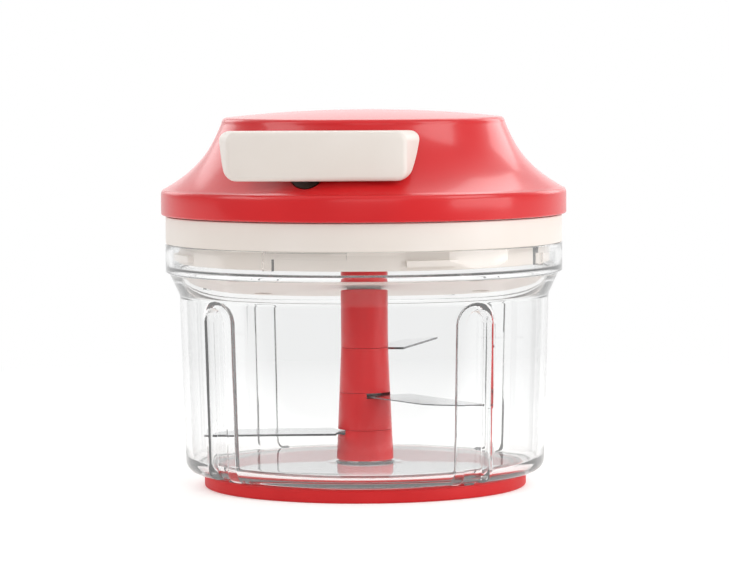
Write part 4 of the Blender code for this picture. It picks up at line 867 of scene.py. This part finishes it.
def makeLidBase():
    s = SimpleNamespace(**lidSizes)
    outline = rounded([
        (s.bearing, s.foot, 0.3), (s.skirt, s.foot, 0.5), (s.skirt, s.flangeUnder, 0.3),
        (s.lipInner, s.flangeUnder, 0.2), (s.lipInner, s.lipFoot, 0.2), (s.flange, s.lipFoot, 0.15),
        (s.flange, s.flangeTop, 0.3), (s.spigot, s.flangeTop, 0.2), (s.spigot, s.spigotTop, 0.4),
        (s.spigotInner, s.spigotTop, 0.4), (s.spigotInner, s.step, 0.5), (s.skirtInner, s.step, 0.3),
        (s.skirtInner, s.floorTop, 0.8), (s.sleeve, s.floorTop, 0.8), (s.sleeve, s.sleeveTop, 0.3),
        (s.bearing, s.sleeveTop, 0.3)], True)
    base = lathe("lidBase", outline, 224)
    column = rounded([
        (0, s.columnFoot, 0), (s.columnRadius, s.columnFoot, 0), (s.columnRadius, s.columnTop, 0.3),
        (0, s.columnTop, 0)], False)
    columns = ring(lathe("columns", column, 48), s.columnCircle, s.columnAngle)
    lugs = ring(bentBlock("lugs", *s.lugs), 0, s.lugAngle)
    carve(base, [columns, lugs], "UNION")
    low, high = s.recessSpan
    head = screwSizes["headRadius"] + s.recessGap
    neck = screwSizes["radius"] + s.recessGap
    hole = [(0, low), (head, low), (head, s.recessTop), (neck, s.recessTop), (neck, high), (0, high)]
    carve(base, [ring(lathe("recesses", hole, 40), s.columnCircle, s.columnAngle)])
    dress(base, "lid_base")


def makeSealRing():
    s = SimpleNamespace(**sealSizes)
    outline = rounded([
        (s.inner, s.foot, s.edge), (s.outer, s.foot, s.edge), (s.outer, s.top, s.edge),
        (s.inner, s.top, s.edge)], True)
    dress(lathe("sealRing", outline, 192), "seal_ring")


def makeScrews():
    s = SimpleNamespace(**screwSizes)
    top = lidSizes["recessTop"] - s.headGap
    foot = top - s.headHeight
    outline = rounded([
        (0, foot, 0), (s.headRadius, foot, 0.4), (s.headRadius, top, 0.2), (s.radius, top, 0.1),
        (s.radius, s.tip - s.point, 0.3), (0, s.tip, 0)], False, 3)
    screw = lathe("lidScrews", outline, 28)
    corners = [(-6, -s.slotHalf), (6, -s.slotHalf), (6, s.slotHalf), (-6, s.slotHalf)]
    slot = prism("slot", corners, top - 6, top - s.slotDepth)
    ring(carve(screw, [slot]), lidSizes["columnCircle"], lidSizes["columnAngle"], "turnedSteel")
    dress(screw, "lid_screw_1", "lid_screw_2", "lid_screw_3", "lid_screw_4")


makeLidBase()
makeSealRing()
makeScrews()
print("lid base, seal and screws made")


# Top cover and the eyelet in its outlet

coverSizes = {
    "radius": 60.0, "foot": 80.65, "footEdge": 0.6, "bandTop": 86.55, "flareFoot": 88.25,
    "flareFootRadius": 59.1, "flareTop": 107.75, "flareTopRadius": 41.9, "lean": 0.48, "topRound": 1.5,
    "crown": 2.2, "top": 111.45, "wall": 2.3, "innerShare": 0.65, "bossRadius": 3.2, "bossFoot": 83.95,
    "pilotFoot": 79, "pilotGap": 0.3, "axleBoss": 4.5, "axleBossFoot": 106.8, "axleHole": 1.8,
    "axleHoleSpan": (102, 109.6), "crownRings": 16, "flareRings": 32, "innerRings": 24,
}
cordSizes = {
    "offset": 12.8, "height": 95.55, "radius": 0.75, "sides": 16, "pitch": 2.0, "turns": 4.25,
    "stepsPerTurn": 72, "runStart": 1.8, "runEnd": 51.94, "runRings": 120, "eyelet": 5.4,
    "eyeletBore": 1.3, "eyeletMouth": 3.8, "mouthDepth": 2.2, "eyeletBack": 3.2, "eyeletGap": 0.3,
    "holeGap": 0.4,
}


def flareRadius(height):
    s = SimpleNamespace(**coverSizes)
    share = min(max((s.flareTop - height) / (s.flareTop - s.flareFoot), 0), 1)
    drawn = s.lean * share + (1 - s.lean) * share ** 3
    return s.flareTopRadius + (s.flareFootRadius - s.flareTopRadius) * drawn


def coverOutside():
    s = SimpleNamespace(**coverSizes)
    topRadius = s.flareTopRadius - s.topRound
    points = []
    for step in range(s.crownRings):
        share = step / s.crownRings
        points.append((topRadius * step / s.crownRings, s.top - s.crown * share ** 2))
    for turn in reversed(quarter):
        points.append((topRadius + s.topRound * math.cos(turn), s.flareTop + s.topRound * math.sin(turn)))
    rise = s.flareTop - s.flareFoot
    for step in range(1, s.flareRings + 1):
        height = s.flareTop - rise * step / s.flareRings
        points.append((flareRadius(height), height))
    for turn in quarter[1:]:
        radius = s.flareFootRadius + (s.radius - s.flareFootRadius) * math.sin(turn)
        points.append((radius, s.flareFoot - (s.flareFoot - s.bandTop) * (1 - math.cos(turn))))
    edge = rounded([(s.radius, s.bandTop, 0), (s.radius, s.foot, s.footEdge), (0, s.foot, 0)], False)
    return points + edge[1:-1]


def coverInside():
    s = SimpleNamespace(**coverSizes)
    top = s.flareTop + s.topRound - s.wall
    points = [(0, s.top - s.wall)]
    for step in range(s.innerRings + 1):
        height = top - (s.flareTop - s.flareFoot - s.wall) * step / s.innerRings
        points.append((flareRadius(height + s.wall) - s.innerShare * s.wall, height))
    band = s.radius - s.wall
    return points + [(band, s.flareFoot - s.wall), (band, s.foot - overrun), (0, s.foot - overrun)]


def cordFrame():
    # turns a lathe's axis to point along the cord, out of the cover
    start = Matrix.Translation((-cordSizes["offset"], 0, cordSizes["height"]))
    return start @ Matrix.Rotation(math.radians(90), 4, "X")


def makeTopCover():
    s = SimpleNamespace(**coverSizes)
    circle = (lidSizes["columnCircle"], lidSizes["columnAngle"])
    tip = screwSizes["tip"] + s.pilotGap
    cover = lathe("topCover", coverOutside() + [(0, s.foot)], 256)
    cavity = lathe("cavity", coverInside(), 256)
    bosses = ring(rod("bosses", s.bossRadius, s.bossFoot, s.flareTop), *circle)
    carve(cavity, [bosses, rod("axleBoss", s.axleBoss, s.axleBossFoot, s.top)])
    pilots = ring(rod("pilots", screwSizes["radius"] + s.pilotGap, s.pilotFoot, tip, 24), *circle)
    outlet = rod("outlet", cordSizes["eyelet"] + cordSizes["eyeletGap"], 0, s.radius, 64, cordFrame())
    carve(cover, [cavity, pilots, outlet, rod("axleHole", s.axleHole, *s.axleHoleSpan, 24)])
    dress(cover, "top_cover")


def makeEyelet():
    s = SimpleNamespace(**cordSizes)
    face = math.sqrt(flareRadius(s.height) ** 2 - s.offset ** 2)
    back = face - coverSizes["wall"] - s.eyeletBack
    out = coverSizes["radius"]
    outline = rounded([
        (s.eyeletBore, back, 0.4), (s.eyelet, back, 0.5), (s.eyelet, out, 0), (s.eyeletMouth, out, 0),
        (s.eyeletMouth, face, 0.8), (s.eyeletBore, face - s.mouthDepth, 0.8)], True)
    eyelet = lathe("cordEyelet", outline, 64, cordFrame())
    carve(eyelet, [lathe("dome", coverOutside() + [(0, coverSizes["foot"])], 256)], "INTERSECT")
    dress(eyelet, "cord_eyelet")


makeTopCover()
makeEyelet()
print("top cover and eyelet made")


# Handle: a hollow bar with a bowed front, and the plate that closes it behind

handleSizes = {
    "width": 51.5, "low": 92.15, "high": 106.15, "offset": -9.5, "front": 57.5, "corner": 3.0, "edge": 1.5,
    "bow": 140.0, "draft": 0.24, "wall": 1.8, "gap": 0.3, "rear": 37.7, "backGap": 0.5, "plate": 1.5,
    "columns": 32, "slabRows": 32, "slabReach": 50,
}


def barColumns(halfWidth, halfHeight, corner):
    left = []
    for turn in quarter:
        left.append((corner * (1 - math.cos(turn)) - halfWidth, halfHeight - corner * (1 - math.sin(turn))))
    straight = halfWidth - corner
    columns = handleSizes["columns"]
    middle = [(straight * (2 * step / columns - 1), halfHeight) for step in range(1, columns)]
    return left + middle + [(-x, half) for x, half in reversed(left)]


def handleBar(name, inset, front, rear):
    s = SimpleNamespace(**handleSizes)
    middle = (s.high + s.low) / 2
    halfWidth = s.width / 2 - inset
    halfHeight = (s.high - s.low) / 2 - inset
    corner = s.corner - inset / 2
    layers = [(s.edge * (1 - math.sin(turn)), s.edge * (1 - math.cos(turn))) for turn in quarter]
    bm = bmesh.new()
    loops = []
    for drawnIn, setback in layers + [(0, None)]:
        upper, lower = [], []
        for x, half in barColumns(halfWidth - drawnIn, halfHeight - drawnIn, corner - drawnIn / 2):
            if setback is None:
                y = -rear
                x *= 1 + s.draft * (front - rear) / halfWidth
            else:
                y = s.bow - math.sqrt(s.bow ** 2 - x ** 2) + setback - front
            upper.append(bm.verts.new((s.offset + x, y, middle + half)))
            lower.append(bm.verts.new((s.offset + x, y, middle - half)))
        loops.append((upper, lower))
    for (upper, lower), (nextUpper, nextLower) in zip(loops, loops[1:]):
        bridge(bm, upper + lower[::-1], nextUpper + nextLower[::-1])
    for upper, lower in (loops[0], loops[-1]):
        for step in range(len(upper) - 1):
            bm.faces.new((upper[step], upper[step + 1], lower[step + 1], lower[step]))
    return fromDrawing(name, bm)


def backSlab(name, near, far):
    s = SimpleNamespace(**handleSizes)
    tall = s.high - s.low + 2 * overrun
    heights = [s.low - overrun + tall * step / s.slabRows for step in range(s.slabRows + 1)]
    outline = [(-flareRadius(height) - s.backGap - far, height) for height in heights]
    if near is None:
        outline += [(0, heights[-1]), (0, heights[0])]
    else:
        outline += [(-flareRadius(height) - s.backGap - near, height) for height in reversed(heights)]
    sides = (s.offset - s.slabReach, s.offset + s.slabReach)
    return loft(name, [[(x, y, z) for y, z in outline] for x in sides])


def makeHandle():
    s = SimpleNamespace(**handleSizes)
    grip = handleBar("handleGrip", 0, s.front, s.rear)
    hollow = handleBar("hollow", s.wall, s.front - s.wall, s.rear - overrun)
    carve(grip, [backSlab("backLine", None, 0), hollow])
    dress(grip, "handle_grip")
    inset = s.wall + s.gap
    plate = handleBar("handleBack", inset, s.front - inset, s.rear)
    bore = cordSizes["radius"] + cordSizes["holeGap"]
    hole = rod("cordHole", bore, 0, coverSizes["radius"], 32, cordFrame())
    slab = carve(backSlab("slab", 0, s.plate), [hole])
    carve(plate, [slab], "INTERSECT")
    dress(plate, "handle_back")


makeHandle()
print("handle made")


# Cord, spring and what else turns under the cover

springSizes = {
    "turns": 6.0, "first": 8.15, "last": 22.05, "height": 8.0, "thickness": 0.5, "middle": 87.3, "steps": 64,
}


def makeWinding():
    s = SimpleNamespace(**cordSizes)
    winding = rod("cordWinding", 1, 0, 1, 8)     # the tree puts the cord in this rod's place
    grow(winding, windingTree(), {
        "Turns": s.turns, "Steps per turn": s.stepsPerTurn, "Cord line": s.offset * mm,
        "First height": s.height * mm, "Pitch": s.pitch * mm, "Lead": 2 * s.radius * mm,
        "Cord radius": s.radius * mm, "Cord sides": s.sides, "Material": finishes["braidedNylon"]})
    dress(winding, "cord_winding", sharp=60.0)


def makeCordRun():
    s = SimpleNamespace(**cordSizes)
    bm = bmesh.new()
    along = bm.verts.layers.float.new("along")
    around = bm.verts.layers.float.new("around")
    rings = []
    for row in range(s.runRings + 1):
        travel = s.runStart + (s.runEnd - s.runStart) * row / s.runRings
        loop = []
        for side in range(s.sides):
            x, z = polar(s.radius, 2 * math.pi * side / s.sides)
            vertex = bm.verts.new((x - s.offset, -travel, s.height + z))
            vertex[along] = travel * mm
            vertex[around] = side / s.sides
            loop.append(vertex)
        rings.append(loop)
    for first, second in zip(rings, rings[1:]):
        bridge(bm, first, second)
    bm.faces.new(rings[0])
    bm.faces.new(rings[-1])
    run = fromDrawing("cordRun", bm)
    run.data.materials.append(finishes["braidedNylon"])
    run.data.shade_smooth()
    run.data.set_sharp_from_angle(angle=math.radians(60))
    x, z = -s.offset * mm, s.height * mm
    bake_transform(run)
    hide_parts("cord_run")


def makeSpring():
    s = SimpleNamespace(**springSizes)
    spring = rod("recoilSpring", 1, 0, 1, 8)    # the tree puts the strip in this rod's place
    grow(spring, springTree(), {
        "Turns": s.turns, "Steps per turn": s.steps, "First radius": s.first * mm,
        "Last radius": s.last * mm, "Middle height": s.middle * mm, "Strip height": s.height * mm,
        "Strip thickness": s.thickness * mm, "Material": finishes["turnedSteel"]})
    dress(spring, "recoil_spring")


def carryOver(node, name):
    # a small hidden piece keeps its CAD shape: a copy is welded and shaded smooth
    item = frame["nodes"][node].copy()
    item.data = frame["nodes"][node].data.copy()
    item.parent = None
    item.name = item.data.name = name
    bpy.context.scene.collection.objects.link(item)
    bm = bmesh.new()
    bm.from_mesh(item.data)
    bmesh.ops.remove_doubles(bm, verts=bm.verts, dist=1e-6)
    bm.to_mesh(item.data)
    bm.free()
    dress(item, node)


makeWinding()
makeCordRun()
makeSpring()
for node, name in (
        ("reel", "cordReel"), ("spring_cover", "springCover"), ("drive_spindle", "driveSpindle"),
        ("axle_pin", "axlePin"), ("cord_knot", "cordKnot"), ("pivot_pin", "pivotPin"),
        ("shaft_core", "shaftCore"), ("foot_bush", "footBush")):
    carryOver(node, name)
print("cord, spring and hidden pieces made")


# Blade shaft: red sleeves and three blades threaded on the core

shaftSizes = {
    "topRadius": 7.0, "footRadius": 8.45, "foot": 7.65, "top": 65.55, "upperBlade": 40.05, "edge": 0.3,
    "seamEdge": 0.05, "bore": 5.1, "coreTop": 51.75, "gap": 0.3, "splineFoot": 57.75,
    "flangeRoom": 6.5, "flangeDepth": 2.4,
}
splineSizes = {                  # millimetres from the axis, and degrees
    "ribs": 3, "angle": 83, "outer": 5.7, "inner": 4.1, "roomSpread": 100, "ribSpread": 20,
}
bladeSizes = {
    "sweep": 48.2, "thickness": 0.6, "bevel": 3.2, "edge": 0.28, "hubRadius": 5.9, "hubRise": 0.15,
    "tang": 5.2, "shoulder": 0.6, "nose": 14.0, "tipWidth": 0.8, "steps": 40, "roomReach": 60,
}
blades = {                       # node, height, angle, width, distance of the back from the axis, side
    "bladeLower": ("blade_lower", 15.75, -174.5, 18.0, 9.0, -1),
    "bladeMiddle": ("blade_middle", 26.75, -52.6, 13.8, 10.4, -1),
    "bladeUpper": ("blade_upper", 40.05, 77.5, 9.0, 9.8, 1),
}
sleeves = {                      # node, foot, top, and the blade whose hub its top takes
    "footSleeve": ("foot_sleeve", 7.65, 16.6, "bladeLower"),
    "lowerSleeve": ("lower_sleeve", 16.7, 27.6, "bladeMiddle"),
    "middleSleeve": ("middle_sleeve", 27.7, 40.9, "bladeUpper"),
    "driveSocket": ("drive_socket", 41.0, 65.55, None),
}


def shaftRadius(height):
    s = SimpleNamespace(**shaftSizes)
    share = min(max((s.upperBlade - height) / (s.upperBlade - s.foot), 0), 1)
    return s.topRadius + (s.footRadius - s.topRadius) * share


def splineRoom(low, high):
    # room for three splines, between three ribs
    s = SimpleNamespace(**splineSizes)
    outline = []
    for rib in range(s.ribs):
        centre = s.angle + 360 / s.ribs * rib
        outline += [(s.outer, centre + s.roomSpread * (step / 24 - 0.5)) for step in range(25)]
        outline += [(s.inner, centre + s.roomSpread / 2 + s.ribSpread * step / 6) for step in range(7)]
    return prism("splineRoom", [polar(radius, math.radians(turn)) for radius, turn in outline], low, high)


def tangReach(width, back):
    return min(back, bladeSizes["tang"]), min(width - back, bladeSizes["tang"])


def bladeRoom(height, angle, width, back, side):
    # room for a blade's hub and tang in the top of the sleeve under them
    s = SimpleNamespace(**bladeSizes)
    gap = shaftSizes["gap"]
    foot, top = height - (s.thickness / 2 + gap), height + overrun
    behind, before = (reach + gap for reach in tangReach(width, back))
    outline = [(0, -behind), (s.roomReach, -behind), (s.roomReach, before), (0, before)]
    slot = prism("slot", [(x, side * y) for x, y in outline], foot, top)
    slot.data.transform(Matrix.Rotation(math.radians(angle), 4, "Z"))
    return [slot, rod("hubRoom", s.hubRadius + gap, foot - s.hubRise, top, 64)]


def makeSleeves():
    s = SimpleNamespace(**shaftSizes)
    for name, (node, low, high, blade) in sleeves.items():
        lowEdge, highEdge = (s.edge if end in (s.foot, s.top) else s.seamEdge for end in (low, high))
        outline = rounded([
            (0, low, 0), (shaftRadius(low), low, lowEdge), (shaftRadius(high), high, highEdge),
            (0, high, 0)], False)
        sleeve = lathe(name, outline, 96)
        if blade is None:
            tools = [sixSided("bore", s.bore, low - overrun, s.coreTop + s.gap)]
            tools.append(splineRoom(s.splineFoot, high + overrun))
        else:
            tools = bladeRoom(*blades[blade][1:])
            tools.append(sixSided("bore", s.bore, low - overrun, high + overrun))
        if name == "footSleeve":
            tools.append(rod("flangeRoom", s.flangeRoom, low - overrun, low + s.flangeDepth))
        dress(carve(sleeve, tools), node)


def bladeSections(height, width, back, side):
    s = SimpleNamespace(**bladeSizes)
    thick, keen = s.thickness / 2, s.edge / 2
    reach = math.sqrt(s.sweep ** 2 - back ** 2)
    outside = shaftRadius(height) + shaftSizes["gap"]
    tang = tangReach(width, back)
    stations = [(0, *tang), (outside, *tang), (outside + s.shoulder, back, width - back)]
    for step in range(s.steps + 1):
        share = step / s.steps
        edge = width - back - (width - s.tipWidth) * share ** 2
        stations.append((reach - s.nose * (1 - share), back, edge))
    sections = []
    for x, rear, edge in stations:
        bevel = max(edge - s.bevel, (edge - rear) / 2)
        outline = [
            (-rear, -thick), (-rear, thick), (bevel, thick), (edge, keen), (edge, -keen), (bevel, -thick)]
        sections.append([(x, side * y, z) for y, z in outline])
    return sections


def makeBlades():
    s = SimpleNamespace(**bladeSizes)
    hub = s.thickness / 2 + s.hubRise
    for name, (node, height, angle, width, back, side) in blades.items():
        place = Matrix.Translation((0, 0, height)) @ Matrix.Rotation(math.radians(angle), 4, "Z")
        blade = loft(name, bladeSections(height, width, back, side), place)
        carve(blade, [rod("hub", s.hubRadius, height - hub, height + hub, 64)], "UNION")
        carve(blade, [sixSided("hubHole", shaftSizes["bore"], height - overrun, height + overrun)])
        dress(blade, node, finish=brushedSteel(name + "Steel", angle, True), sharp=12.0)


makeSleeves()
makeBlades()
print("blade shaft made")

print("scene finished")
